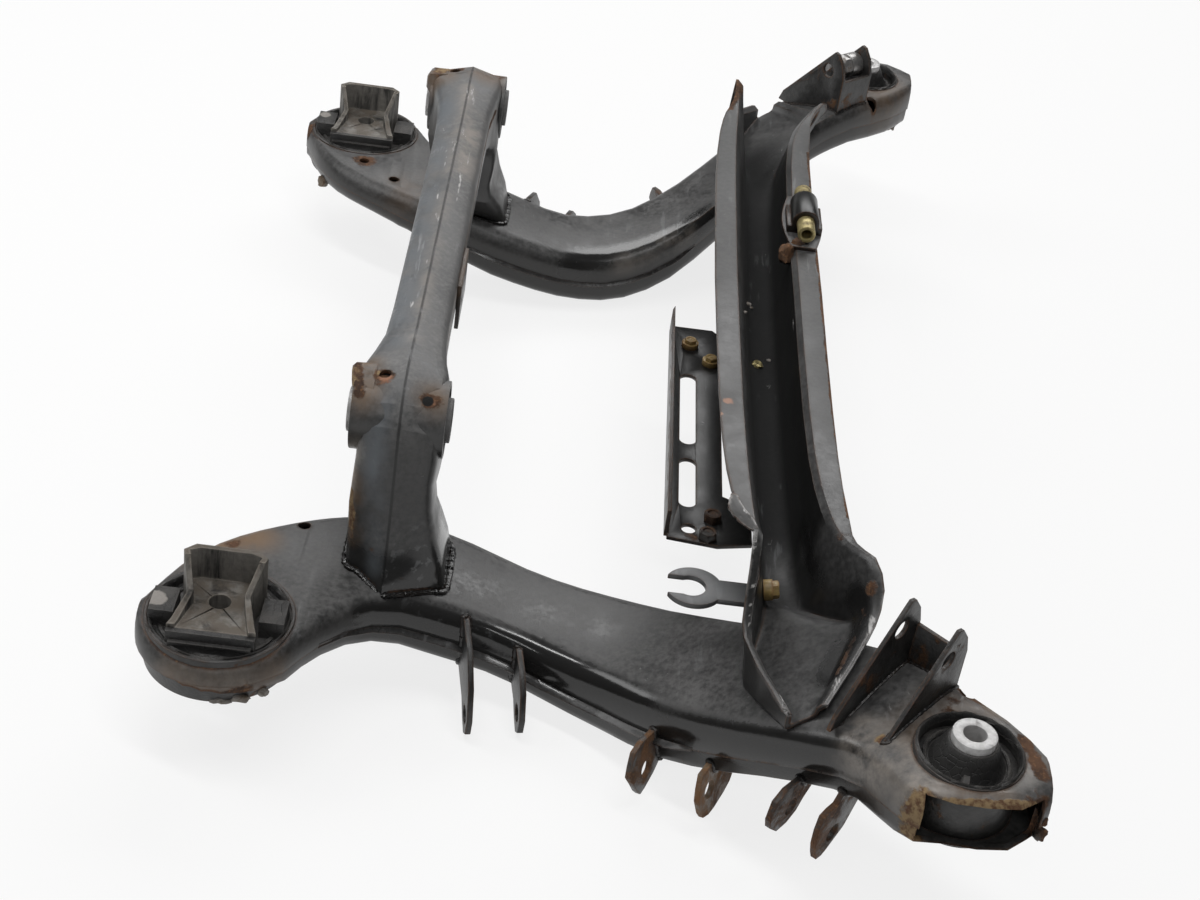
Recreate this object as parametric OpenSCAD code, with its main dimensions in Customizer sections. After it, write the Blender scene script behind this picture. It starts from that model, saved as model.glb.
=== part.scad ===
// Rear subframe of a car: two bowed box members, a bridge, an open cross channel, bushes and brackets.
// Millimetres. +X points to the vehicle front, +Y to its left, +Z up along the mount bolts.
// The origin lies midway between the two front mount sleeves, on their top faces.

/* [Mount layout] */
// Distance of each front mount from the middle
front_y = 467.5; // [455:0.5:480]
// Distance of each rear mount from the middle
rear_y = 349; // [344:0.5:354]
// Fore and aft distance between front and rear mounts
mount_run = 457.5; // [450:0.5:465]
// Height of the rear mount plate below the front one
rear_drop = 66; // [62:0.5:70]
// Bolt hole radius of the front sleeves
front_bolt_r = 7; // [5:0.1:8]
// Bolt hole radius of the rear cores
rear_bolt_r = 7; // [5:0.1:8]

/* [Sheet metal] */
// Sheet thickness of the pressings
sheet = 3; // [2.4:0.1:3.6]
// Corner radius along the top of the side members
crown_r = 14; // [10:0.5:15]
// Corner radius along the bottom of the side members
sump_r = 9; // [6:0.5:11]
// How far the lower pressing reaches into the upper one
lap = 9; // [6:0.5:11]
// Thickness of the link tabs
tab_t = 4; // [3:0.1:5]
// Bolt hole radius of the link tabs
link_r = 6.2; // [5:0.1:7]

/* [Bushes] */
// Outer radius of the front bush
front_bush_r = 33; // [31:0.5:35]
// Outer radius of the front inner sleeve
front_core_r = 13.4; // [11:0.1:15]
// How far the front sleeve stands above the plate
sleeve_proud = 14; // [10:0.5:18]
// Outer radius of the rear bush
rear_bush_r = 48; // [46:0.5:49]
// Outer radius of the tower bush
tower_bush_r = 26; // [24:0.5:27]
// Bolt hole radius of the tower bush
tower_bolt_r = 6.5; // [5:0.1:8]
// Wall of the bush sleeves
sleeve_wall = 2.5; // [2:0.1:3.5]

/* [Bridge] */
// Distance of each tower bush from the middle
tower_y = 238; // [234:0.5:242]
// Height of the tower bush axis over the front plate
tower_z = 28; // [25:0.5:31]
// Bridge seam position ahead of the rear mounts
bridge_x = 98; // [94:0.5:102]
// How far the bridge ridge stands above its shoulders
ridge_rise = 5; // [3:0.5:7]
// Corner radius of the bridge shells
bridge_r = 9; // [7:0.5:11]

/* [Channel] */
// Height of the channel lips over the front plate
channel_top = 28; // [24:0.5:32]
// Depth of the channel
channel_deep = 80; // [72:1:84]
// Bend radius between channel walls and floor
channel_r = 9; // [6:0.5:10]

/* [Hidden] */
$fn = 48;
// Straight runs and arcs of the lofted pressings
arc_n = 3;
// The tables are drawn for this run between the mounts and this radius round the rear bush
drawn_run = 457.5;
drawn_end = 53;
drawn_tail = -51.5;
drawn_nose = 504;
// From here to the nose the part stretches with the mounts
stretch_x = 110;
end_r = rear_bush_r + 5;
// Drawn position along X moved to the chosen sizes
function fx(x) = x < 50 ? x * end_r / drawn_end : x < stretch_x ? x
  : stretch_x + (x - stretch_x) * (mount_run - stretch_x) / (drawn_run - stretch_x);
function along(t) = [for (q = t) [fx(q[0]), q[1]]];
tail = fx(drawn_tail);
nose = fx(drawn_nose);
rear_z = -rear_drop;
front_core_low = -50;

// Smooth curve through a list of [position, value] points
function seg(t, x, i = 0) = i + 2 >= len(t) || x < t[i + 1][0] ? i : seg(t, x, i + 1);
function pitch(t, i) =
  let (a = max(i - 1, 0), b = min(i + 1, len(t) - 1))
  (t[b][1] - t[a][1]) / (t[b][0] - t[a][0]);
function at(t, x) =
  let (i = seg(t, x), h = t[i + 1][0] - t[i][0], u = (x - t[i][0]) / h)
  (2 * u * u * u - 3 * u * u + 1) * t[i][1] + (u * u * u - 2 * u * u + u) * pitch(t, i) * h
  + (3 * u * u - 2 * u * u * u) * t[i + 1][1] + (u * u * u - u * u) * pitch(t, i + 1) * h;

// Side member measured from the rear mount: inner wall, outer wall, top height and depth along X
inner_wall = along([
  [drawn_tail, rear_y - 13], [-42, rear_y - 36], [-30, rear_y - 60], [-10, rear_y - 84], [21, rear_y - 106],
  [63, 222], [110, 211], [150, 211], [210, 221], [250, 234], [290, 258], [330, 291], [390, 346],
  [458, 404], [490, 434], [drawn_nose, 456]
]);
shoulder = 46;
outer_wall = along([
  [shoulder, rear_y + 0.53 * end_r], [63, rear_y - 2], [80, 326], [105, 309], [140, 303], [180, 302],
  [210, 312],
  [250, 334], [290, 368], [330, 404], [370, 438], [398, 464], [414, 492], [428, 510], [450, 513],
  [484, 512], [drawn_nose, 496]
]);
top_line = along([
  [-54, rear_z], [40, rear_z], [100, rear_z - 5], [150, -84], [190, -96], [220, -100], [250, -98],
  [290, -85], [330, -61], [370, -33], [410, -9], [440, 0], [460, 0], [drawn_nose, 0]
]);
depth_line = along([
  [-54, 30], [20, 30], [70, 37], [130, 46], [210, 46], [290, 50], [350, 45], [430, 42], [drawn_nose, 42]
]);
stations = [for (x = [
  drawn_tail, drawn_tail + 2.3, -46, -41, -34, -25, -14, -2, 10, 22, 32, 40, shoulder, 54, 64, 78, 94, 112,
  132, 152, 172, 192, 212, 232, 252, 272, 292, 312, 332, 352, 372, 390, 402, 412, 420, 430, 446, 466, 484,
  496, drawn_nose
]) fx(x)];

function in_y(x) = at(inner_wall, x);
function out_y(x) = x < fx(shoulder) ? rear_y + sqrt(max(0, end_r * end_r - x * x)) : at(outer_wall, x);
function top_z(x) = at(top_line, x);
function low_z(x) = top_z(x) - at(depth_line, x);
function seam_z(x) = top_z(x) - 0.55 * at(depth_line, x);
function at_end(x) = x < tail + 3 || x > nose - sheet - 0.2;
function lap_z(x) = seam_z(x) + (at_end(x) ? 0 : min(lap, 0.55 * at(depth_line, x) - crown_r - 0.5));
function lean(x) = max(abs(in_y(x + 2) - in_y(x - 1)), abs(out_y(x + 1) - out_y(x - 1.5))) / 2.8;
function wall_t(x) = min(sheet * min(2.2, sqrt(1 + lean(x) * lean(x))), 0.14 * (out_y(x) - in_y(x)));

// Open hat section from rim to crown: an outer line, then the same line one sheet further in
function hat_line(a, b, rim, crown, q) =
  let (s = sign(crown - rim), r = min(q, 0.46 * (b - a)))
  concat([[a, rim]],
    [for (i = [0:arc_n]) let (w = 180 - 90 * i / arc_n) [a + r + r * cos(w), crown - s * r + s * r * sin(w)]],
    [for (i = [0:arc_n]) let (w = 90 - 90 * i / arc_n) [b - r + r * cos(w), crown - s * r + s * r * sin(w)]],
    [[b, rim]]);
function back(v) = [for (i = [len(v) - 1:-1:0]) v[i]];
function hat(a, b, rim, crown, r, ty) =
  let (s = sign(crown - rim))
  concat(hat_line(a, b, rim, crown, r),
    back(hat_line(a + ty, b - ty, rim, crown - s * sheet, max(2, r - sheet))));

// The same section filled up to a slightly arched rim, for the end walls
function hat_shut(a, b, rim, crown, r, ty) =
  let (n = 2 * arc_n + 3, s = sign(crown - rim))
  concat(hat_line(a, b, rim, crown, r),
    [for (i = [0:n]) [b - ty - (b - a - 2 * ty) * i / n, rim + s * sin(180 * i / n)]]);

// Solid through rings of equal length, each an outer line followed by the inner line turned back
module loft(rings, flip = false) {
  n = len(rings);
  m = len(rings[0]);
  h = m / 2;
  quads = [for (i = [0:n - 2]) for (j = [0:m - 1])
    let (k = (j + 1) % m, a = i * m + j, b = i * m + k, c = a + m, d = b + m)
    each flip ? [[a, c, b], [b, c, d]] : [[a, b, c], [b, d, c]]];
  caps = [for (e = [0, 1]) for (j = [0:h - 2])
    let (o = e * (n - 1) * m, a = o + j, b = a + 1, c = o + m - 1 - j, d = c - 1)
    each (e == 0) == flip ? [[a, b, c], [b, d, c]] : [[a, c, b], [b, c, d]]];
  polyhedron(points = [for (r = rings) each r], faces = concat(quads, caps), convexity = 8);
}
function on_x(x, v) = [for (p = v) [x, p[0], p[1]]];

// Moves rear mount coordinates to the part's origin
module part_frame() translate([-mount_run, 0, -sleeve_proud]) children();
module side(s) mirror([0, s < 0 ? 1 : 0, 0]) children();

function upper_ring(x, shut = false) =
  on_x(x, (shut ? hat_shut(in_y(x), out_y(x), seam_z(x), top_z(x), crown_r, wall_t(x))
    : hat(in_y(x), out_y(x), seam_z(x), top_z(x), crown_r, wall_t(x))));
function lower_ring(x, shut = false) =
  let (a = in_y(x) + wall_t(x), b = out_y(x) - wall_t(x), rim = lap_z(x))
  on_x(x, shut ? hat_shut(a, b, rim, low_z(x), sump_r, wall_t(x))
    : hat(a, b, rim, low_z(x), sump_r, wall_t(x)));
function whole_ring(x) =
  on_x(x, concat(hat_line(in_y(x), out_y(x), seam_z(x), top_z(x), crown_r),
    back(hat_line(in_y(x) + wall_t(x), out_y(x) - wall_t(x), seam_z(x), low_z(x), sump_r))));

// Outside of a side member between two stations, used to trim what is welded to it
module member_body(x0, x1) loft([for (x = stations) if (x >= x0 && x <= x1) whole_ring(x)]);

module bush_bores() {
  translate([0, rear_y, rear_z - 80]) cylinder(r = rear_bush_r, h = 160);
  translate([mount_run, front_y, -100]) cylinder(r = front_bush_r, h = 200);
}
module end_window() translate([fx(429), 490, -42 + sheet + 1])
  cube([fx(499) - fx(429), 40, 42 - 2 * sheet - 2]);

module upper_pressing(s) part_frame() side(s) difference() {
  loft(concat([upper_ring(tail, true), upper_ring(tail + 1.9, true)],
    [for (x = stations) if (x > tail && x < nose) upper_ring(x)],
    [upper_ring(nose - sheet), upper_ring(nose + 0.5 - sheet, true), upper_ring(nose, true)]));
  bush_bores();
  end_window();
  for (p = s > 0 ? [[37, rear_y - 87], [7, rear_y - 60]] : [[38, rear_y - 102]])
    translate([p[0], p[1], rear_z - 12]) cylinder(r = 4.5, h = 40);
  translate([fx(462), 415, -20]) cylinder(r = 5, h = 40);
}
module lower_pressing(s) part_frame() side(s) difference() {
  loft(concat([lower_ring(tail, true), lower_ring(tail + 1.9, true)],
    [for (x = stations) if (x > tail && x < nose) lower_ring(x)],
    [lower_ring(nose - sheet), lower_ring(nose + 0.5 - sheet, true), lower_ring(nose, true)]), true);
  bush_bores();
  end_window();
}

// Height of the member's top skin at a point in plan, on the same straight runs between stations
function cell(x, i = 0) = i + 2 >= len(stations) || x < stations[i + 1] ? i : cell(x, i + 1);
function run(a, b, x, i) = a + (b - a) * (x - stations[i]) / (stations[i + 1] - stations[i]);
function flat_z(x) = let (i = cell(x)) run(top_z(stations[i]), top_z(stations[i + 1]), x, i);
function flat_in(x) = let (i = cell(x)) run(in_y(stations[i]), in_y(stations[i + 1]), x, i);
function flat_out(x) = let (i = cell(x)) run(out_y(stations[i]), out_y(stations[i + 1]), x, i);
function drop(d) = d >= crown_r ? 0 : crown_r - sqrt(max(0, crown_r * crown_r - pow(crown_r - max(d, 0), 2)));
function skin_z(x, y) = flat_z(x) - drop(min(y - flat_in(x), flat_out(x) - y));

// Bridge sections from the middle to the foot: ridge [y, z], underside [y, z], front and rear half width,
// and how much further the ridge stands out than along the tube
bridge_line = [
  [0, 58, 0, 16, 20.5, 20.5, 0], [70, 58, 70, 16, 20.5, 20.5, 0], [130, 58, 130, 16, 20.5, 20.5, 0],
  [175, 59, 172, 14, 21, 21.5, 0], [205, 61, 190, 9, 23.5, 26, 0], [226, 61.5, 200, 3, 27, 30.5, 0],
  [244, 59, 206, -5, 28, 30, 0], [258, 50, 209, -13, 28, 28.5, 0], [267, 36, 211, -22, 27.5, 27.5, 0],
  [272, 18, 212, -31, 26.5, 27, 0], [276, 0, 213, -40, 25, 28, 0], [280.5, -20, 213, -50, 26.5, 29, 1],
  [287, -40, 217, -54, 30.5, 28.5, 4], [296, -58, 224, -64, 36.5, 28, 9], [304, -72, 229, -74, 40.5, 27.5, 13]
];
seat_gap = 0.03;
foot_gap = 1;
saddle_gap = 0.6;
function bridge_half(q, f) =
  let (o = [q[0], q[1]], u = [q[2], q[3]], h = norm(o - u), w = f > 0 ? q[4] : q[5], r = bridge_r,
    d = ridge_rise + q[6])
  concat([[0, h], [f * (w - r), h - d]],
    [for (i = [1:3]) let (a = 90 - 30 * i) [f * (w - r + r * cos(a)), h - d - r + r * sin(a)]],
    [for (i = [0:3]) let (a = -30 * i) [f * (w - r + r * cos(a)), r + r * sin(a)]],
    [[0, 0]]);
function bridge_skin(q, f) =
  let (o = [q[0], q[1]], u = [q[2], q[3]], h = norm(o - u), w = (f > 0 ? q[4] : q[5]) - sheet,
    r = bridge_r - sheet, d = ridge_rise + q[6], t = sheet)
  concat([[0, h - t], [f * (w - r), h - t - d]],
    [for (i = [1:3]) let (a = 90 - 30 * i) [f * (w - r + r * cos(a)), h - t - d - r + r * sin(a)]],
    [for (i = [0:3]) let (a = -30 * i) [f * (w - r + r * cos(a)), t + r + r * sin(a)]],
    [[0, t]]);
function bridge_ring(q, f, m) =
  let (o = [q[0], q[1]], u = [q[2], q[3]], n = (o - u) / norm(o - u))
  [for (p = concat(bridge_half(q, f), back(bridge_skin(q, f))))
    let (x = bridge_x + p[0], y = u[0] + n[0] * p[1], foot = q[4] > 40)
    [x, m * y, foot ? skin_z(x, y) + foot_gap : u[1] + n[1] * p[1]]];
module bridge_shell(f) part_frame() difference() {
  loft(concat(
    [for (i = [len(bridge_line) - 1:-1:1]) bridge_ring(bridge_line[i], f, -1)],
    [for (q = bridge_line) bridge_ring(q, f, 1)]), f < 0);
  for (s = [-1, 1]) side(s) {
    translate([0, tower_y, tower_z]) rotate([0, 90, 0]) cylinder(r = tower_bush_r, h = 200);
    translate([84, 236, 30]) cylinder(r = 4, h = 60);
    translate([114, 252, 30]) cylinder(r = 4, h = 60);
    translate([60, 262, -40]) rotate([0, 90, 0]) cylinder(r = 4, h = 30);
  }
}

module bridge_rear_shell() color("#3c3e40") bridge_shell(-1);
module bridge_front_shell() color("#3f4143") bridge_shell(1);
module bridge_side_tab() color("#2b2c2d") part_frame() translate([bridge_x + 20.5, -92, 8]) difference() {
  cube([sheet, 56, 36]);
  translate([-10, 12, 18]) rotate([0, 90, 0]) cylinder(r = 4, h = 40);
}

tower_rear = 65;
tower_front = 127;
module tower_at(s) part_frame() side(s) translate([0, tower_y, tower_z]) rotate([0, 90, 0]) children();
module tower_sleeve(s) color("#33312e") tower_at(s) difference() {
  translate([0, 0, tower_rear]) cylinder(r = tower_bush_r, h = tower_front - tower_rear);
  translate([0, 0, 0]) cylinder(r = tower_bush_r - sleeve_wall, h = 200);
}
module tower_rubber(s) color("#1d1c1b") tower_at(s) difference() {
  translate([0, 0, tower_rear + 4])
    cylinder(r = tower_bush_r - sleeve_wall, h = tower_front - tower_rear - 8);
  translate([0, 0, tower_rear]) cylinder(r = 12, h = 80);
}
module tower_core(s) color("#a7a59f") tower_at(s) difference() {
  union() {
    translate([0, 0, tower_rear - 2]) cylinder(r = 12, h = tower_front - tower_rear + 3);
    translate([0, 0, tower_rear - 3]) cylinder(r = 15, h = 4);
    translate([0, 0, tower_front - 1]) cylinder(r = 15, h = 4);
  }
  translate([0, 0, 0]) cylinder(r = tower_bolt_r, h = 200);
}

// The channel and what hangs on it keep their form and move with the mounts
channel_shift = fx(348) - 348;
module channel_frame() part_frame() translate([channel_shift, 0, 0]) children();

// Channel along Y: rear wall, front wall, lip width, rear and front edge heights, wall slope, bend radius
channel_low = channel_top - channel_deep;
wall_rear = [[0, 328], [150, 329], [240, 331], [312, 334], [345, 333], [372, 334], [396, 345], [424, 361]];
wall_front = [
  [0, 369], [150, 369], [240, 372], [290, 380], [312, 389], [334, 402], [352, 407], [380, 396], [424, 372]
];
lip_wide = [[0, 17], [200, 16], [280, 12], [322, 3], [424, 2.6]];
edge_rear = [
  [0, channel_top], [300, channel_top], [318, channel_top + 5], [336, channel_top + 11],
  [348, channel_top - 4], [362, -4], [380, -14], [424, -25]
];
edge_front = [
  [0, 22], [150, 22], [250, 22], [300, 21], [316, 24], [330, 28], [344, 21], [356, 8], [380, -3], [424, -18]
];
slope_rear = [[0, 16], [260, 16], [312, 12], [372, 3], [424, 0]];
slope_front = [[0, 2], [240, 2], [290, 7], [312, 14], [352, 8], [424, 0]];
bend = [[0, channel_r], [290, channel_r], [352, 5], [424, 3]];
ramp = 34;
function floor_z(x, y) =
  let (w = x + channel_shift, e = flat_in(w) - y, t = flat_z(w) + saddle_gap,
    u = min(1, max(0, 1 - e / ramp)))
  e > 0 ? channel_low + (max(t, channel_low) - channel_low) * u * u * (3 - 2 * u)
  : t - drop(flat_out(w) - y);
function trough_ring(v) =
  let (y = abs(v), b = at(wall_rear, y), c = at(wall_front, y), l = at(lip_wide, y), t = sheet,
    hr = at(edge_rear, y), hf = at(edge_front, y), p = b + at(slope_rear, y), q = c - at(slope_front, y),
    r = at(bend, y), k = (q - p - 2 * r) / 3)
  concat(
    [[b - 4 - l, v, hr], [b - 4, v, hr], [b, v, hr - 4]],
    [for (i = [0:3]) let (w = 180 + 22.5 * i, x = p + r + r * cos(w))
      [x, v, floor_z(x, y) + t + r + r * sin(w)]],
    [for (i = [0:3]) let (x = p + r + k * i) [x, v, floor_z(x, y) + t]],
    [for (i = [1:4]) let (w = 270 + 22.5 * i, x = q - r + r * cos(w))
      [x, v, floor_z(x, y) + t + r + r * sin(w)]],
    [[c, v, hf - 4], [c + 4, v, hf], [c + 4 + l, v, hf]],
    [[c + 4 + l, v, hf - t], [c + 4 + 0.6 * t, v, hf - t], [c + t, v, hf - 4 - 0.6 * t]],
    [for (i = [4:-1:1]) let (w = 270 + 22.5 * i, x = q - r + (r + t) * cos(w))
      [x, v, floor_z(x, y) + t + r + (r + t) * sin(w)]],
    [for (i = [3:-1:0]) let (x = p + r + k * i) [x, v, floor_z(x, y)]],
    [for (i = [3:-1:0]) let (w = 180 + 22.5 * i, x = p + r + (r + t) * cos(w))
      [x, v, floor_z(x, y) + t + r + (r + t) * sin(w)]],
    [[b - t, v, hr - 4 - 0.6 * t], [b - 4 - 0.6 * t, v, hr - t], [b - 4 - l, v, hr - t]]);
channel_run = [0, 80, 160, 215, 250, 272, 288, 300, 310, 320, 330, 340, 348, 356, 364, 374, 394, 422];
// Sheet of the channel on the -Y side between two stations, used to trim what is welded to its wall
module channel_part(y0, y1) loft([for (i = [len(channel_run) - 1:-1:0])
  if (channel_run[i] >= y0 && channel_run[i] <= y1) trough_ring(-channel_run[i])]);
module cross_channel() color("#2e3031") channel_frame() difference() {
  loft(concat([for (i = [len(channel_run) - 1:-1:1]) trough_ring(-channel_run[i])],
    [for (y = channel_run) trough_ring(y)]));
  for (s = [-1, 1]) side(s) {
    translate([318, 340, 14]) rotate([0, 90, 0]) cylinder(r = link_r, h = 26);
    if (s > 0) translate([388, 330, 10]) rotate([0, 90, 0]) cylinder(r = link_r, h = 30);
  }
}

// Slotted bracket for the drive unit, hung on the rear wall of the channel
bracket_z = -46;
bracket_screw = [[298, 8], [314, -14]];
screw_r = 4;
module drive_bracket() color("#26282a") channel_frame() difference() {
  union() {
    translate([0, 0, bracket_z]) linear_extrude(height = sheet)
      polygon([
        [283, -240], [318, -244], [342, -238], [342, -196], [322, -186], [322, -66], [342, -56], [342, -12],
        [328, 22], [316, 36], [284, 36]
      ]);
    translate([281, -236, bracket_z]) linear_extrude(height = 22)
      polygon([[0, 0], [sheet, 0], [sheet, 272], [1, 266]]);
  }
  for (q = [[-203, -145], [-126, -33]]) long_slot(297, q[0], q[1]);
  translate([298, -228, bracket_z - 10]) cylinder(r = 5, h = 30);
  for (p = bracket_screw) translate([p[0], p[1], bracket_z - 10]) cylinder(r = screw_r, h = 30);
  channel_part(0, 250);
}
module long_slot(x, y0, y1) {
  translate([x - 6, y0 + 6, bracket_z - 10]) cube([12, y1 - y0 - 12, 30]);
  for (y = [y0 + 6, y1 - 6]) translate([x, y, bracket_z - 10]) cylinder(r = 6, h = 30);
}
module drive_bracket_screws() color("#7a5a33") channel_frame()
  for (p = bracket_screw) translate([p[0], p[1], bracket_z - 8]) {
    cylinder(r = screw_r, h = 8 + sheet);
    translate([0, 0, 8 + sheet]) cylinder(r = 6.5, h = 4);
  }

// Open fork on a short arm, and the head of the bolt that holds it inside the channel
fork_z = -22;
fork_y = -322;
wall_lean = 78.3;
module fork_bracket() color("#4a4d50") channel_frame() difference() {
  translate([0, 0, fork_z]) union() {
    translate([298, fork_y, 0]) cylinder(r = 19, h = sheet + 1);
    translate([0, fork_y, 0]) linear_extrude(height = sheet + 1)
      polygon([[298, -11], [336.3, -11], [337.5, -2.8], [338.2, 9], [298, 9]]);
  }
  translate([296, fork_y, fork_z - 5]) cylinder(r = 10, h = 20);
  translate([270, fork_y - 9, fork_z - 5]) cube([26, 18, 20]);
}
module fork_bolt() color("#7d5228") channel_frame() translate([346.2, -300, -32]) rotate([0, wall_lean, 0])
  cylinder(r = 7, h = 6);

// Clamp on the front lip: a bowed saddle plate, a band on it and the tube that the band holds
clamp_z = 22 + seat_gap;
clamp_x = 379;
tube_r = 7;
band_t = 4;
tube_z = clamp_z + sheet + tube_r + 2;
module clamp_plate() color("#232527") channel_frame() translate([0, 0, clamp_z])
  linear_extrude(height = sheet) polygon(concat([for (i = [0:8]) [368 - 6 * sin(22.5 * i), 66 + 10.5 * i]],
    [for (i = [8:-1:0]) [388 + 7 * sin(22.5 * i), 66 + 10.5 * i]]));
module clamp_block() color("#303234") channel_frame() translate([clamp_x, 124, tube_z]) rotate([90, 0, 0])
  linear_extrude(height = 36) difference() {
    union() {
      circle(r = tube_r + band_t);
      translate([-14, -tube_r - 2]) square([28, 6]);
    }
    circle(r = tube_r);
    translate([-20, -tube_r - 22]) square([40, 20]);
  }
module clamp_bosses() color("#b9a860") channel_frame() translate([clamp_x, 142, tube_z]) rotate([90, 0, 0])
  difference() {
    cylinder(r = tube_r, h = 72);
    translate([0, 0, -1]) cylinder(r = 4.2, h = 74);
  }

// Pairs of link tabs: hole of the rear tab, heading of the plates, rise of the bolt axis, tab distance
pair_a = [[163.9, 338.2, -136], 78, 0, 35.2];
pair_b = [[281.9, 378.1, -127.7], 117.4, 10.4, 45.8];
pair_c = [[366.9, 441, -84.8], 126.5, 0, 30.6];

// Link tab: outline in [outward, up] round the bolt axis, shift along that axis, trimmed by the member
module tab(pair, shift, outline, x0, x1) difference() {
  translate([fx(pair[0][0]), pair[0][1], pair[0][2]]) rotate([0, 0, pair[1]]) rotate([-pair[2], 0, 0])
    translate([0, -shift, 0]) rotate([90, 0, 0]) linear_extrude(height = tab_t, center = true)
    difference() {
      polygon(outline);
      circle(r = link_r);
    }
  member_body(fx(x0), fx(x1));
}
tab_long = [
  [-52, 48], [-38, 48], [-14, 42], [4, 24], [11, 2], [9, -10], [2, -15], [-7, -10], [-18, 0], [-52, 10]
];
tab_short = [
  [-42, 32], [-25, 33], [-10, 30], [4, 20], [11, 2], [9, -10], [2, -15], [-7, -10], [-16, -2], [-42, 4]
];
tab_b1_form = [
  [-36, 20], [-13, 22], [4, 24], [14, 22], [19, 14], [22, 7], [17, -2], [13, -10], [9, -15], [3, -14],
  [-9, -10], [-22, -3], [-36, 6]
];
tab_b2_form = [
  [-40, 10], [-25, 16], [-8, 18], [9, 17], [13, 8], [15, 0], [12, -12], [9, -17], [2, -19.5], [-6, -19.5],
  [-20, -17], [-29, -14], [-36, -8], [-42, 0]
];
tab_c1_form = [
  [-30, 14], [-10, 18], [10, 20], [20, 16], [23.5, 3.5], [21.5, -4], [12.5, -12.5], [1.5, -12.8], [-8, -9],
  [-14, -2], [-22, 4], [-30, 8]
];
tab_c2_form = [
  [-36, 24], [-20, 30], [-4, 31], [2, 24.5], [10, 25], [16.8, 24], [19.4, 14], [19.4, 2.7], [17, -6],
  [14, -13], [8, -14], [3, -12.5], [-14, -4], [-23, 7.5], [-30, 15.5], [-38, 20]
];
module tab_a1(s) color("#3a3a39") part_frame() side(s) tab(pair_a, 0, tab_long, 132, 172);
module tab_a2(s) color("#3a3a39") part_frame() side(s) tab(pair_a, pair_a[3], tab_short, 172, 212);
module tab_b1(s) color("#5a4230") part_frame() side(s) tab(pair_b, 0, tab_b1_form, 252, 312);
module tab_b2(s) color("#6a4a32") part_frame() side(s) tab(pair_b, pair_b[3], tab_b2_form, 292, 352);
module tab_c1(s) color("#4a3626") part_frame() side(s) tab(pair_c, 0, tab_c1_form, 332, 402);
module tab_c2(s) color("#54402c") part_frame() side(s) tab(pair_c, pair_c[3], tab_c2_form, 372, 430);

// Clevis behind the front bush: two plates and a back wall, folded in one piece
clevis_gap = 35;
module clevis_plate() rotate([90, 0, 0]) linear_extrude(height = sheet, center = true) difference() {
  polygon([[-44, -22], [30, -22], [30, 28], [26, 40], [19, 49], [14.5, 50], [-40, -12]]);
  translate([10, 30]) circle(r = link_r);
}
module at_clevis() translate([fx(421.8), 419.6, 0]) rotate([0, 0, -48]) children();
module link_clevis(s) color("#36332f") part_frame() side(s) difference() {
  at_clevis() {
    translate([0, -clevis_gap / 2, 0]) clevis_plate();
    translate([0, clevis_gap / 2, 0]) clevis_plate();
    translate([30 - sheet, -clevis_gap / 2, -22]) cube([sheet, clevis_gap, 48]);
  }
  member_body(fx(352), fx(466));
}
module link_bolt_l() color("#8c8a86") part_frame() at_clevis()
  translate([10, clevis_gap / 2 - 14, 30]) rotate([-90, 0, 0]) {
    cylinder(r = link_r, h = 22);
    cylinder(r = 11, h = 14 - sheet / 2);
  }

module at_rear(s) part_frame() translate([0, s * rear_y, rear_z]) children();
module rear_sleeve(s) color("#3b3a38") at_rear(s) difference() {
  translate([0, 0, -32]) cylinder(r = rear_bush_r, h = 33);
  translate([0, 0, -40]) cylinder(r = rear_bush_r - sleeve_wall, h = 60);
}
rear_k = rear_bush_r / 48;
module rear_core_form(inset) scale(rear_k) polygon([
  [-28 + inset, -30 - inset], [28 - inset, -30 - inset], [20 - inset, -4], [27 - inset, 19],
  [20 - inset, 26 - inset], [-20 + inset, 26 - inset], [-27 + inset, 19], [-20 + inset, -4]
]);
module rear_core(s) color("#8d857a") at_rear(s) difference() {
  translate([0, 0, -28]) linear_extrude(height = 62) rear_core_form(0);
  translate([0, 0, 10]) linear_extrude(height = 60) rear_core_form(4);
  rotate([90, 0, 90]) linear_extrude(height = 80, center = true)
    polygon([[-50, 13], [-24, 13], [-6, 19], [14, 33], [18, 50], [-50, 50]]);
  translate([0, 0, -60]) cylinder(r = rear_bolt_r, h = 120);
}
module rear_rubber(s) color("#1c1c1b") at_rear(s) difference() {
  union() {
    translate([0, 0, -24]) cylinder(r = rear_bush_r - sleeve_wall, h = 20);
    for (x = [-35, 35]) translate([(x - 8) * rear_k, -14 * rear_k, -10])
      cube([16 * rear_k, 24 * rear_k, 19]);
    translate([-26 * rear_k, -37 * rear_k, -10]) cube([52 * rear_k, 7 * rear_k, 14]);
    translate([-28 * rear_k, -34 * rear_k, -10]) cube([56 * rear_k, 4 * rear_k, 20]);
  }
  translate([0, 0, -28]) linear_extrude(height = 62) rear_core_form(0);
}

module at_front(s) part_frame() translate([mount_run, s * front_y, 0]) children();
module front_sleeve(s) color("#2c2b2a") at_front(s) difference() {
  translate([0, 0, -46]) cylinder(r = front_bush_r, h = 47);
  translate([0, 0, -60]) cylinder(r = front_bush_r - sleeve_wall, h = 80);
}
module front_rubber(s) color("#1b1b1a") at_front(s) difference() {
  union() {
    translate([0, 0, -42]) cylinder(r = front_bush_r - sleeve_wall, h = 34);
    translate([0, 0, -8]) cylinder(r1 = 23, r2 = front_core_r + 1.5, h = sleeve_proud + 3);
  }
  translate([0, 0, -60]) cylinder(r = front_core_r, h = 120);
}
module front_core(s) color("#c9c9c6") at_front(s) difference() {
  translate([0, 0, front_core_low]) cylinder(r = front_core_r, h = sleeve_proud - front_core_low);
  translate([0, 0, front_core_low - 1]) cylinder(r = front_bolt_r, h = sleeve_proud - front_core_low + 2);
}

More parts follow.
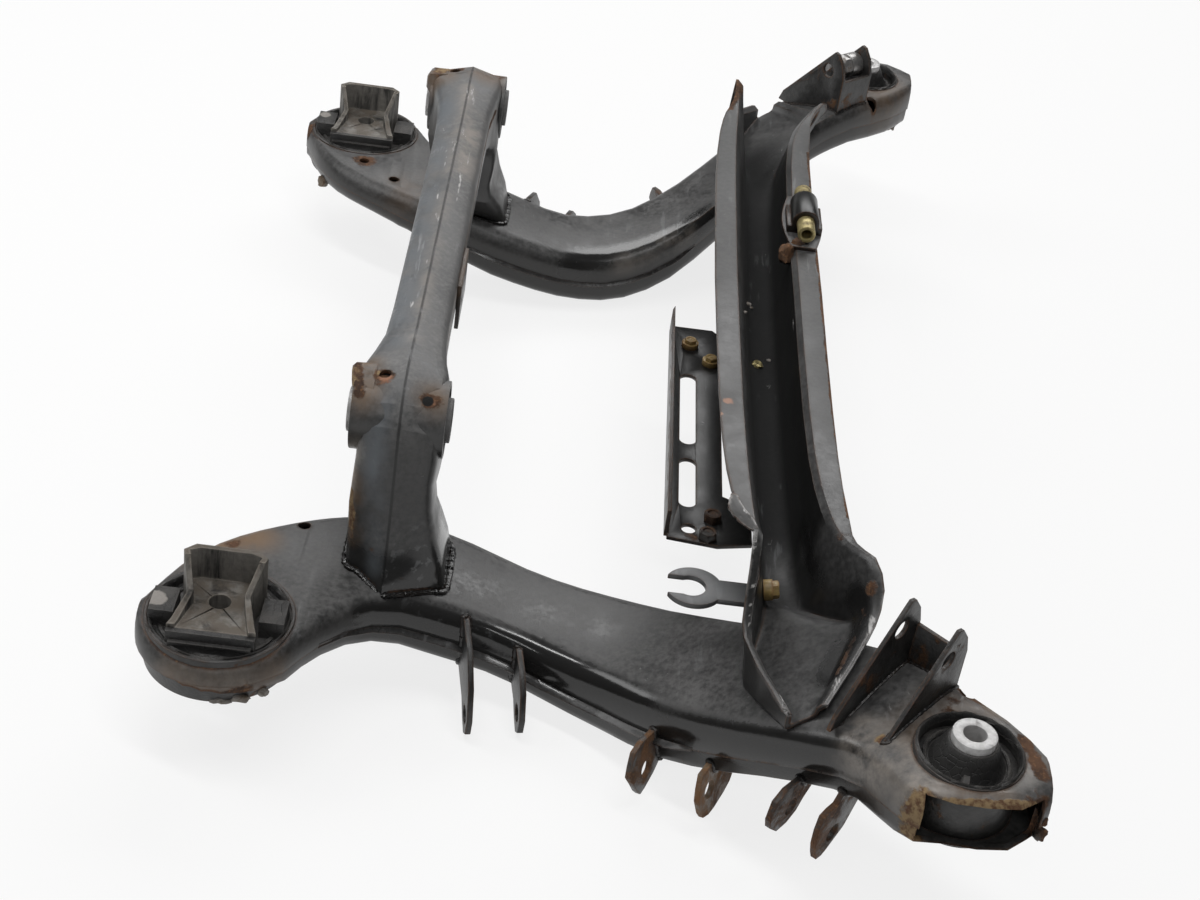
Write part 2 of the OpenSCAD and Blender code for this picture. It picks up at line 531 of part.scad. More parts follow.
module upper_pressing_r() color("#3d3f40") upper_pressing(-1);
module upper_pressing_l() color("#3d3f40") upper_pressing(1);
module lower_pressing_r() color("#343536") lower_pressing(-1);
module lower_pressing_l() color("#343536") lower_pressing(1);
module tower_sleeve_r() tower_sleeve(-1);
module tower_sleeve_l() tower_sleeve(1);
module tower_rubber_r() tower_rubber(-1);
module tower_rubber_l() tower_rubber(1);
module tower_core_r() tower_core(-1);
module tower_core_l() tower_core(1);
module tab_a1_r() tab_a1(-1);
module tab_a1_l() tab_a1(1);
module tab_a2_r() tab_a2(-1);
module tab_a2_l() tab_a2(1);
module tab_b1_r() tab_b1(-1);
module tab_b1_l() tab_b1(1);
module tab_b2_r() tab_b2(-1);
module tab_b2_l() tab_b2(1);
module tab_c1_r() tab_c1(-1);
module tab_c1_l() tab_c1(1);
module tab_c2_r() tab_c2(-1);
module tab_c2_l() tab_c2(1);
module link_clevis_r() link_clevis(-1);
module link_clevis_l() link_clevis(1);
module rear_sleeve_r() rear_sleeve(-1);
module rear_sleeve_l() rear_sleeve(1);
module rear_rubber_r() rear_rubber(-1);
module rear_rubber_l() rear_rubber(1);
module rear_core_r() rear_core(-1);
module rear_core_l() rear_core(1);
module front_sleeve_r() front_sleeve(-1);
module front_sleeve_l() front_sleeve(1);
module front_rubber_r() front_rubber(-1);
module front_rubber_l() front_rubber(1);
module front_core_r() front_core(-1);
module front_core_l() front_core(1);

upper_pressing_r();
upper_pressing_l();
lower_pressing_r();
lower_pressing_l();
bridge_rear_shell();
bridge_front_shell();
bridge_side_tab();
tower_sleeve_r();
tower_sleeve_l();
tower_rubber_r();
tower_rubber_l();
tower_core_r();
tower_core_l();
cross_channel();
drive_bracket();
drive_bracket_screws();
fork_bracket();
fork_bolt();
clamp_plate();
clamp_block();
clamp_bosses();
tab_a1_r();
tab_a1_l();
tab_a2_r();
tab_a2_l();
tab_b1_r();
tab_b1_l();
tab_b2_r();
tab_b2_l();
tab_c1_r();
tab_c1_l();
tab_c2_r();
tab_c2_l();
link_clevis_r();
link_clevis_l();
link_bolt_l();
rear_sleeve_r();
rear_sleeve_l();
rear_rubber_r();
rear_rubber_l();
rear_core_r();
rear_core_l();
front_sleeve_r();
front_sleeve_l();
front_rubber_r();
front_rubber_l();
front_core_r();
front_core_l();
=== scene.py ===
import math
import random

import bmesh
import bpy
from mathutils import Matrix, Vector, noise
from mathutils.bvhtree import BVHTree


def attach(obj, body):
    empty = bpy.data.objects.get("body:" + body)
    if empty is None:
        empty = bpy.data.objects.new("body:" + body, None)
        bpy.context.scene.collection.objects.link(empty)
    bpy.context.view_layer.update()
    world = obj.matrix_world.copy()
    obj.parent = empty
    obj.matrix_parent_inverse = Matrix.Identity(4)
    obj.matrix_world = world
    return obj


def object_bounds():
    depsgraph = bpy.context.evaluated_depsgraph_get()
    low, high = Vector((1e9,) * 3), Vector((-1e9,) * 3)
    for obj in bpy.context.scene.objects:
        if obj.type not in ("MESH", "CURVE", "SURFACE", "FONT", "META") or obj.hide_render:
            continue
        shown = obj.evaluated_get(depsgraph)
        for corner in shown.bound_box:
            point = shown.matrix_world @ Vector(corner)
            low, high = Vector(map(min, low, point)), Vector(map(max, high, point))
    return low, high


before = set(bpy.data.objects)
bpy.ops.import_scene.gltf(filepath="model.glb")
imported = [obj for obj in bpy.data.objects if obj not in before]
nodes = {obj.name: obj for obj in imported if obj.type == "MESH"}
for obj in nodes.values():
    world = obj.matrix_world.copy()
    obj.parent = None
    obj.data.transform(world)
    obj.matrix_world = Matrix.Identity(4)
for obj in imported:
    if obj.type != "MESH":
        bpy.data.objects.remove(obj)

cad_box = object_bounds()

# Distance of the front mounts from the rear ones, and of the origin above the front plate, in millimetres
MOUNT_RUN = 457.5
SLEEVE_PROUD = 14.0
# Half the distances between the front and the rear mounts, height of the rear ones, and the bores of the tower heads
FRONT_Y, REAR_Y, REAR_Z = 467.5, 349, -66
TOWER_Y, TOWER_Z = 238, 28
SIDES = {"r": -1, "l": 1}


def at(x, y, z):
    """A point given in millimetres from the rear mounts, in the part's frame in metres."""
    return Vector(((x - MOUNT_RUN) / 1000, y / 1000, (z - SLEEVE_PROUD) / 1000))


# Shader building

# How far the normal turns, as 1 less its cosine, where an edge starts to wear and where it is worn
EDGE_TURN = (0.02, 0.16)


class Shader:
    """A material whose nodes are added by short calls."""

    def __init__(self, name):
        self.material = bpy.data.materials.new(name)
        self.material.use_nodes = True
        self.tree = self.material.node_tree
        self.surface = self.tree.nodes["Principled BSDF"]
        self.place = self.add("ShaderNodeTexCoord").outputs["Object"]

    def add(self, kind, inputs=None, **settings):
        node = self.tree.nodes.new(kind)
        for key, value in settings.items():
            setattr(node, key, value)
        for key, value in (inputs or {}).items():
            self.put(node.inputs[key], value)
        return node

    def put(self, socket, value):
        if isinstance(value, bpy.types.NodeSocket):
            self.tree.links.new(value, socket)
        else:
            socket.default_value = value

    def noise(self, scale, detail=4.0, rough=0.55, stretch=None, warp=0.0):
        place = self.place
        if stretch:
            place = self.add("ShaderNodeMapping", {"Vector": place, "Scale": stretch}).outputs["Vector"]
        made = self.add("ShaderNodeTexNoise", {
            "Vector": place, "Scale": scale, "Detail": detail, "Roughness": rough, "Distortion": warp})
        return made.outputs["Fac"]

    def math(self, how, a, b=0.0):
        made = self.add("ShaderNodeMath", operation=how)
        self.put(made.inputs[0], a)
        self.put(made.inputs[1], b)
        return made.outputs[0]

    def times(self, first, *others):
        for other in others:
            first = self.math("MULTIPLY", first, other)
        return first

    def vector(self, how, a, b, result="Vector"):
        return self.add("ShaderNodeVectorMath", {0: a, 1: b}, operation=how).outputs[result]

    def ramp(self, value, low, high, to_low=0.0, to_high=1.0):
        made = self.add("ShaderNodeMapRange", {
            "Value": value, "From Min": low, "From Max": high, "To Min": to_low, "To Max": to_high},
            interpolation_type="SMOOTHSTEP")
        return made.outputs["Result"]

    def mix(self, share, a, b):
        made = self.add("ShaderNodeMix", data_type="RGBA")
        self.put(made.inputs[0], share)
        self.put(made.inputs[6], a)
        self.put(made.inputs[7], b)
        return made.outputs[2]

    def blend(self, share, a, b):
        made = self.add("ShaderNodeMix", data_type="FLOAT")
        self.put(made.inputs[0], share)
        self.put(made.inputs[2], a)
        self.put(made.inputs[3], b)
        return made.outputs[0]

    def upward(self):
        normal = self.add("ShaderNodeNewGeometry").outputs["Normal"]
        return self.add("ShaderNodeSeparateXYZ", {"Vector": normal}).outputs["Z"]

    def edges(self, radius):
        """1 on sharp edges within a radius, 0 on open faces."""
        soft = self.add("ShaderNodeBevel", {"Radius": radius}, samples=4).outputs["Normal"]
        plain = self.add("ShaderNodeNewGeometry").outputs["Normal"]
        same = self.vector("DOT_PRODUCT", soft, plain, "Value")
        return self.ramp(self.math("SUBTRACT", 1.0, same), *EDGE_TURN)

    def from_line(self, a, b):
        """Distance from the straight line between two points."""
        run = b - a
        away = self.vector("SUBTRACT", self.place, a)
        share = self.math("DIVIDE", self.vector("DOT_PRODUCT", away, run, "Value"), run.length_squared)
        share = self.add("ShaderNodeClamp", {"Value": share}).outputs[0]
        nearest = self.add("ShaderNodeVectorMath", {0: run, "Scale": share}, operation="SCALE").outputs["Vector"]
        return self.vector("DISTANCE", away, nearest, "Value")

    def spots(self, places):
        """1 near any of the places, each a point or the two ends of a line, with a radius and a strength."""
        total = None
        for ends, radius, strength in places:
            if len(ends) == 2:
                apart = self.from_line(*ends)
            else:
                apart = self.vector("DISTANCE", self.place, ends[0], "Value")
            near = self.ramp(apart, 0.0, radius, strength, 0.0)
            total = near if total is None else self.math("MAXIMUM", total, near)
        return total

    def ragged(self, places, scale=75, low=0.42, high=0.60):
        """Patches with torn borders round the places."""
        near = self.spots(places)
        torn = self.math("ADD", near, self.math("SUBTRACT", self.noise(scale, 6, 0.68), 0.5))
        return self.times(self.ramp(torn, low, high), self.ramp(near, 0.02, 0.12))

    def finish(self, color, roughness, height, depth, strength, metallic=0.0):
        self.put(self.surface.inputs["Base Color"], color)
        self.put(self.surface.inputs["Roughness"], roughness)
        self.put(self.surface.inputs["Metallic"], metallic)
        bump = self.add("ShaderNodeBump", {"Height": height, "Strength": strength, "Distance": depth})
        self.put(self.surface.inputs["Normal"], bump.outputs["Normal"])
        return self.material


def gray(value, warm=0.0):
    """A near neutral colour, warmer for a positive second value and cooler for a negative one."""
    return (value * (1 + warm), value, value * (1 - warm), 1)


def darker(color, share):
    return tuple(share * c for c in color[:3]) + (1,)


RUST_DARK = (0.036, 0.018, 0.010, 1)
RUST_MID = (0.098, 0.046, 0.022, 1)
RUST_LIGHT = (0.225, 0.112, 0.048, 1)
RUST_TAN = (0.260, 0.180, 0.092, 1)
STAIN = (0.165, 0.100, 0.052, 1)
PRIMER = (0.36, 0.180, 0.110, 1)
DUST, SCUFF, CHIP, SCRAPE = gray(0.20, 0.02), gray(0.30, -0.02), gray(0.55), gray(0.52, 0.02)
# The second of these is near black: painted shade for recesses and for the floors of holes.
GLOSSY, SHADE_PAINT, SEAM = gray(0.010, 0.03), gray(0.004), gray(0.014)
# The second of these is a painted bluish reflection, a sheen painted into the colour.
PALE_WASH, SHEEN_PAINT = gray(0.250, 0.13), gray(0.150, -0.10)

# Width of worn edges, in metres
PAINT_EDGE, STEEL_EDGE, METAL_EDGE, RUBBER_EDGE = 0.0030, 0.0028, 0.0026, 0.0022


def rust_color(s):
    shade = s.noise(60, 6, 0.65)
    fleck = s.noise(420, 3, 0.6)
    base = s.mix(s.ramp(shade, 0.36, 0.62), RUST_DARK, RUST_MID)
    return s.mix(s.ramp(fleck, 0.52, 0.72, 0.0, 0.7), base, RUST_LIGHT)


# Places, in millimetres from the rear mounts: one point, or the ends of a line, then radius and strength

def places(*rows):
    return [([at(*point) for point in ends], radius / 1000, strength) for *ends, radius, strength in rows]


# Stretch of scratches and chips, which run across the vehicle
SCRATCH_WAY = (1.0, 0.12, 1.0)
CHIP_WAY = (1.0, 0.5, 1.0)


def paint(name, side, top, dust, rust=(), stains=(), tan=(), bare=(), scraped=(), glossy=(), shade_places=(),
          pale=(), sheen_places=(), edge_rust=0.9, sheen=0.34, speck=0.2, seam_x=None, calm=(), hole_shade=()):
    """Worn satin paint: painted light from above, lighter on upward faces and darker on its sides, dusty on top,
    with rust along edges, and with wear at the places given.

    Edges at calm places don't rust, seam_x is the line where two shells meet, the recess places are painted near
    black as painted shade, the bluish places get a painted reflection, and the hole places get painted shade on the
    floors of holes.
    """
    s = Shader(name)
    broad = s.noise(6, 4, 0.55, warp=0.6)
    fine = s.noise(48, 5, 0.6)
    rise = s.ramp(s.upward(), -0.1, 0.9)
    # Painted light: upward faces take the lighter top colour and the other faces the darker side colour, as light
    # from above would give.
    color = s.mix(rise, side, top)
    color = s.mix(s.ramp(broad, 0.40, 0.66, 0.0, 0.45), color, darker(side, 0.6))
    drift = s.math("ADD", s.times(fine, 0.35), s.times(s.noise(9, 4, 0.6, warp=1.0), 0.35))
    lying = s.times(rise, s.ramp(s.math("ADD", drift, s.times(s.noise(260, 3, 0.6), 0.6)), 0.46, 0.86))
    dusty = s.times(lying, dust)
    if glossy:
        shine = s.times(s.ramp(s.spots(glossy), 0.1, 0.7), s.ramp(s.noise(14, 1, 0.4), 0.24, 0.44))
        dusty = s.times(dusty, s.math("SUBTRACT", 1.0, shine))
    color = s.mix(dusty, color, DUST)
    if glossy:
        color = s.mix(s.times(shine, 0.6), color, GLOSSY)
    # Painted shade: near black at the recess places, where shadow falls.
    if shade_places:
        color = s.mix(s.spots(shade_places), color, SHADE_PAINT)
    if pale:
        wash = s.times(s.spots(pale), s.ramp(s.noise(40, 5, 0.65), 0.34, 0.66))
        color = s.mix(wash, color, PALE_WASH)
    # Painted reflection: a bluish sheen painted at the given places.
    if sheen_places:
        wash = s.times(s.spots(sheen_places), s.ramp(s.noise(30, 4, 0.6), 0.25, 0.6))
        color = s.mix(wash, color, SHEEN_PAINT)

    lines = s.ramp(s.noise(120, 4, 0.6, stretch=SCRATCH_WAY), 0.57, 0.65)
    scuffs = s.times(lines, s.ramp(s.noise(13, 4), 0.50, 0.64))
    color = s.mix(s.times(scuffs, rise, speck), color, SCUFF)
    chips = s.ramp(s.noise(170, 4, 0.65, stretch=CHIP_WAY, warp=0.8), 0.66, 0.70)
    chips = s.times(chips, s.ramp(s.noise(19, 4), 0.54, 0.62))
    color = s.mix(s.times(chips, rise, speck), color, CHIP)

    if stains:
        soft = s.times(s.spots(stains), s.ramp(s.noise(35, 5, 0.65), 0.26, 0.62))
        color = s.mix(soft, color, STAIN)
    border = s.math("ADD", s.noise(16, 4, 0.6), s.times(s.noise(130, 5, 0.7), 0.35))
    edge = s.edges(PAINT_EDGE)
    rusted = s.times(edge, s.ramp(border, 0.43, 0.67), edge_rust)
    if seam_x is not None:
        x = s.add("ShaderNodeSeparateXYZ", {"Vector": s.place}).outputs["X"]
        off = s.math("ABSOLUTE", s.math("SUBTRACT", x, at(seam_x, 0, 0).x))
        rusted = s.times(rusted, s.ramp(off, 0.003, 0.006))
        edge = s.times(edge, s.ramp(off, 0.003, 0.006))
        color = s.mix(s.ramp(off, 0.0004, 0.0014, 0.75, 0.0), color, SEAM)
    if calm:
        rusted = s.times(rusted, s.ramp(s.spots(calm), 0.02, 0.12, 1.0, 0.0))
    if rust:
        rusted = s.math("MAXIMUM", rusted, s.ragged(rust))
    color = s.mix(rusted, color, rust_color(s))
    if tan:
        crumbly = s.ragged(tan, 110)
        color = s.mix(crumbly, color, s.mix(s.ramp(s.noise(240, 4, 0.6), 0.40, 0.66), RUST_TAN, RUST_MID))
        rusted = s.math("MAXIMUM", rusted, crumbly)
    if bare:
        color = s.mix(s.times(s.ragged(bare, 150, 0.38, 0.74), 0.8), color, PRIMER)
    if scraped:
        near = s.spots(scraped)
        lines = s.ramp(s.noise(210, 4, 0.6, stretch=SCRATCH_WAY), 0.60, 0.68)
        torn = s.math("MAXIMUM", s.times(edge, 0.9), lines)
        white = s.times(s.ramp(near, 0.10, 0.60), torn, s.ramp(s.noise(90, 4, 0.6), 0.36, 0.52))
        color = s.mix(white, color, SCRAPE)
    # Painted shade: the floors of holes are painted near black.
    if hole_shade:
        color = s.mix(s.ramp(s.spots(hole_shade), 0.30, 0.55), color, SHADE_PAINT)

    rough = s.blend(s.ramp(s.math("ADD", broad, s.times(fine, 0.5)), 0.5, 1.0), sheen - 0.06, sheen + 0.10)
    if glossy:
        rough = s.blend(s.times(shine, 0.95), rough, 0.13)
    rough = s.blend(s.math("MINIMUM", s.times(dusty, 1.6), 1.0), rough, 0.72)
    if shade_places:
        rough = s.blend(s.spots(shade_places), rough, 0.92)
    rough = s.blend(rusted, rough, 0.88)
    height = s.math("ADD", s.times(s.noise(320, 3, 0.5), 0.08), s.times(s.noise(24, 4, 0.5), 0.50))
    height = s.math("ADD", height, s.times(rusted, s.noise(230, 5, 0.7), 0.9))
    return s.finish(color, rough, height, 0.0012, 0.5)


def rusty(name, steel, amount, orange, edge=0.85, gloss=0.40):
    """Old steel with rust in patches and along its edges."""
    s = Shader(name)
    patch = s.ramp(s.noise(42, 6, 0.68, warp=0.4), 0.66 - 0.34 * amount, 0.76 - 0.22 * amount)
    rim = s.times(s.edges(STEEL_EDGE), s.ramp(s.noise(55, 4, 0.6), 0.34, 0.56), edge)
    patch = s.math("MAXIMUM", patch, rim)
    worn = s.mix(s.ramp(s.noise(120, 4), 0.35, 0.65), steel, darker(steel, 0.55))
    rusted = s.mix(s.ramp(s.noise(18, 4), 0.42, 0.62, 0.0, orange), rust_color(s), RUST_LIGHT)
    color = s.mix(patch, worn, rusted)
    rough = s.blend(patch, gloss, 0.9)
    height = s.math("ADD", s.noise(180, 5, 0.7), s.times(patch, s.noise(60, 4, 0.6)))
    return s.finish(color, rough, height, 0.0009, 0.6)


def metal(name, pale, dirt, dirt_share, roughness, metallic, streak=None, dark_ends=(), rim=None, floor=None):
    """Bare or plated metal with dirt in patches, in streaks and at given places."""
    s = Shader(name)
    grime = s.noise(70, 6, 0.65, stretch=streak, warp=0.5)
    grime = s.ramp(grime, 0.66 - 0.32 * dirt_share, 0.80 - 0.20 * dirt_share)
    if dark_ends:
        grime = s.math("MAXIMUM", grime, s.spots(dark_ends))
    tone = s.mix(s.ramp(s.noise(260, 3), 0.3, 0.7), pale, darker(pale, 0.75))
    color = s.mix(grime, tone, dirt)
    if floor:
        lying = s.times(s.ramp(s.upward(), 0.6, 0.95), s.ramp(s.noise(55, 5, 0.65), 0.34, 0.58))
        color = s.mix(lying, color, floor)
    if rim:
        worn = s.times(s.edges(METAL_EDGE), s.ramp(s.noise(50, 4, 0.6), 0.34, 0.54))
        color = s.mix(worn, color, rim)
    rough = s.blend(grime, roughness, 0.8)
    height = s.math("ADD", s.noise(300, 4, 0.6), s.times(grime, 0.8))
    return s.finish(color, rough, height, 0.0005, 0.5, s.blend(grime, metallic, 0.0))


def rubber(name, pale):
    """Aged rubber, dusty on top, with fine cracks, worn pale at given places."""
    s = Shader(name)
    dusty = s.times(s.ramp(s.upward(), 0.3, 1.0), s.ramp(s.noise(45, 5, 0.6), 0.42, 0.70, 0.0, 0.45))
    color = s.mix(s.ramp(s.noise(25, 4), 0.35, 0.65), gray(0.012), gray(0.030, 0.03))
    color = s.mix(dusty, color, gray(0.105, 0.08))
    color = s.mix(s.times(s.edges(RUBBER_EDGE), 0.30), color, gray(0.15, 0.08))
    color = s.mix(s.ragged(pale, 60), color, gray(0.26, 0.08))
    cracks = s.add("ShaderNodeTexVoronoi", {"Vector": s.place, "Scale": 220.0}, feature="DISTANCE_TO_EDGE")
    height = s.math("ADD", s.noise(200, 5, 0.6), s.ramp(cracks.outputs["Distance"], 0.0, 0.08, -0.4, 0.0))
    return s.finish(color, s.blend(dusty, 0.52, 0.9), height, 0.0008, 0.6)


MEMBER_RUST = places(
    ((38, -247, -66), 9, 0.8), ((25, -395, -90), 30, 0.6), ((38, 262, -66), 11, 0.7),
    ((-6, -276, -66), 16, 0.6), ((462, -413, 0), (490, -424, 0), 17, 0.8),
    ((440, -455, 0), (452, -425, 0), 14, 0.55), ((495, -500, -6), 22, 0.7),
    ((492, -450, 0), (498, -480, 0), 13, 0.7), ((503, -494, -30), 18, 1.0), ((428, -505, -36), 14, 0.9),
    ((480, 470, 0), 34, 0.7), ((440, 500, -14), 30, 0.8), ((400, 450, -14), 34, 0.6),
    ((-30, 384, -68), 26, 0.9), ((-44, 340, -68), 24, 0.8), ((8, 289, -66), 24, 0.8),
    ((70, -330, -90), 26, 0.4), ((300, -385, -118), 22, 0.5), ((-46, -372, -88), (30, -398, -92), 15, 0.7),
    ((120, -309, -112), (250, -334, -142), 10, 0.5))
MEMBER_STAINS = places(
    ((8, -268, -66), (-26, -294, -66), 27, 1.0), ((440, -450, 0), 40, 0.5),
    ((462, -412, 0), (496, -430, 0), 26, 0.95), ((60, 250, -70), 50, 0.4),
    ((-20, -398, -84), (40, -380, -84), 22, 0.5), ((460, -500, -6), 34, 0.6), ((470, 440, 0), 60, 0.5))
MEMBER_TAN = places(
    ((429, -512, -3), (498, -504, -3), 9, 0.9), ((426, -507, -6), (424, -506, -40), 21, 0.8),
    ((408, -455, -10), 10, 0.8), ((503, -497, -24), 9, 0.9), ((-6, -402, -95), (28, -395, -96), 8, 0.95),
    ((440, -511, -40), (490, -510, -40), 6, 0.7))
MEMBER_PALE = places(
    ((404, -466, -12), 42, 1.0), ((430, -494, -6), 38, 1.0), ((397, -446, -14), 24, 1.0),
    ((425, -470, -2), 36, 1.0), ((480, -432, 0), 22, 0.45), ((490, -474, 0), 26, 0.7),
    ((444, -432, 0), 30, 0.6), ((460, -504, 0), 26, 0.8), ((-30, -398, -80), (30, -392, -80), 20, 0.5),
    ((250, 225, -102), (300, 262, -84), 24, 0.5))
MEMBER_GLOSS = places(
    ((84, -316, -80), (112, -306, -84), 16, 0.9), ((112, -306, -84), (200, -302, -110), 25, 1.0),
    ((200, -302, -110), (300, -373, -98), 27, 1.0), ((300, -373, -98), (394, -454, -32), 26, 1.0),
    ((120, -306, -108), (250, -336, -136), 24, 0.9), ((200, 224, -108), (320, 288, -74), 25, 0.7))
BRIDGE_RUST = places(
    ((84, -238, 58), 16, 0.95), ((116, -254, 55), 18, 0.95), ((123, -242, 44), 17, 0.8),
    ((72, -276, -40), 10, 0.7), ((64, -230, 54), (70, -250, 48), 13, 0.8), ((84, 240, 60), 18, 0.9),
    ((114, 250, 56), 20, 0.9), ((70, 230, 54), (72, 254, 50), 16, 0.7), ((126, 240, 44), 24, 0.8),
    ((66, 265, -30), 18, 0.6), ((120, 205, 40), (120, 60, 36), 8, 0.7),
    ((120, -190, 38), (120, -60, 36), 7, 0.6))
BRIDGE_STAINS = places(
    ((68, -228, 54), (70, -250, 50), 22, 0.95), ((71, -264, -8), (70, -278, -44), 15, 0.95),
    ((118, -250, 52), 22, 0.7), ((70, 228, 54), (76, 252, 52), 28, 0.95), ((66, 262, 0), 30, 0.6),
    ((122, -200, 40), (122, 200, 38), 11, 0.6), ((110, 236, 58), 30, 0.7))
BRIDGE_TAN = places(
    ((71, -268, -18), (71, -279, -46), 9, 0.75), ((63, -230, 52), (66, -246, 48), 11, 0.75),
    ((72, 232, 55), (80, 250, 52), 14, 0.8), ((80, 254, 57), (118, 258, 50), 19, 1.0), ((78, -234, 59), 9, 0.7))
BRIDGE_BARE = places(((84, -241, 58), 11, 0.95), ((116, -255, 54), 12, 0.95), ((104, 248, 58), 10, 0.9))
BRIDGE_PALE = places(
    ((96, -190, 60), (96, 200, 60), 13, 0.7), ((73, -244, 42), (71, -268, -14), 17, 1.0),
    ((80, -150, 54), (80, 150, 54), 14, 0.5), ((106, 60, 56), (108, 160, 56), 16, 0.8))
# Painted reflection: a bluish sheen painted on the near tower's rear flank and along the tube's rear facet.
BRIDGE_SHEEN = places(((84, -256, 44), (86, -296, -56), 14, 0.9), ((80, -190, 54), (80, 190, 54), 24, 0.8))
BRIDGE_SCRAPED = places(((92, -160, 60), (96, 215, 60), 15, 0.8), ((104, 20, 58), (106, 120, 58), 11, 0.8))
BRIDGE_GLOSS = places(
    ((70, -280, -66), (98, -303, -66), 30, 1.0), ((98, -303, -66), (138, -284, -66), 38, 1.0),
    ((138, -284, -66), (138, -232, -66), 34, 1.0))
# Painted shade on the floors of the towers' front holes.
TOWER_HOLE_SHADE = places(((114, -252, 51), 7, 1.0), ((114, 252, 51), 7, 1.0))
TOWER_BORES = places(*(((40, y, TOWER_Z), (156, y, TOWER_Z), 36, 1.0) for y in (-TOWER_Y, TOWER_Y)))
CHANNEL_RUST = places(
    ((400, -350, 2), (386, -394, -14), 9, 0.65), ((326, -320, 6), (330, -345, -10), 10, 0.6),
    ((404, -345, 14), 14, 0.7), ((388, -300, 20), 13, 0.5), ((345, -300, -32), 11, 0.9),
    ((330, 340, 20), 20, 0.8), ((395, 335, 16), 22, 0.9), ((392, 200, 20), 20, 0.45),
    ((390, -150, 21), (390, 240, 21), 5, 0.85), ((390, -150, 21), (394, -280, 21), 5, 0.85),
    ((334, -345, 10), 10, 0.8), ((318, 300, 28), (330, 345, 34), 22, 0.8))
CHANNEL_BARE = places(((315, -171, 27.5), 8, 0.95), ((309.5, -188, 27), 5, 0.8), ((326, 18, 22), 5, 0.5))
CHANNEL_SCRAPED = places(
    ((320, -290, 30), (331, -335, 36), 13, 1.0), ((371, -20, 12), (372, -60, 12), 6, 0.9),
    ((373, -170, 12), (378, -230, 12), 7, 1.0), ((331, -338, 34), (334, -366, -8), 9, 1.0),
    ((334, -366, -8), (360, -424, -25), 9, 1.0), ((409, -350, 14), (396, -384, -6), 9, 1.0),
    ((396, -384, -6), (374, -424, -18), 9, 1.0))
# Painted shade inside the cross channel's trough.
CHANNEL_SHADE = places(((352, -215, -40), (352, 330, -40), 62, 1.0), ((356, -290, -44), 40, 0.8))
CHANNEL_GLOSS = places(
    ((402, -340, 0), (385, -390, -20), 22, 0.9), ((372, -250, -20), (380, -310, -20), 24, 0.6))
BRACKET_RUST = places(
    ((298, 8, -40), 14, 0.9), ((314, -14, -40), 12, 0.7), ((300, -236, -44), 16, 0.6),
    ((282, -230, -30), (282, 30, -30), 7, 0.5))

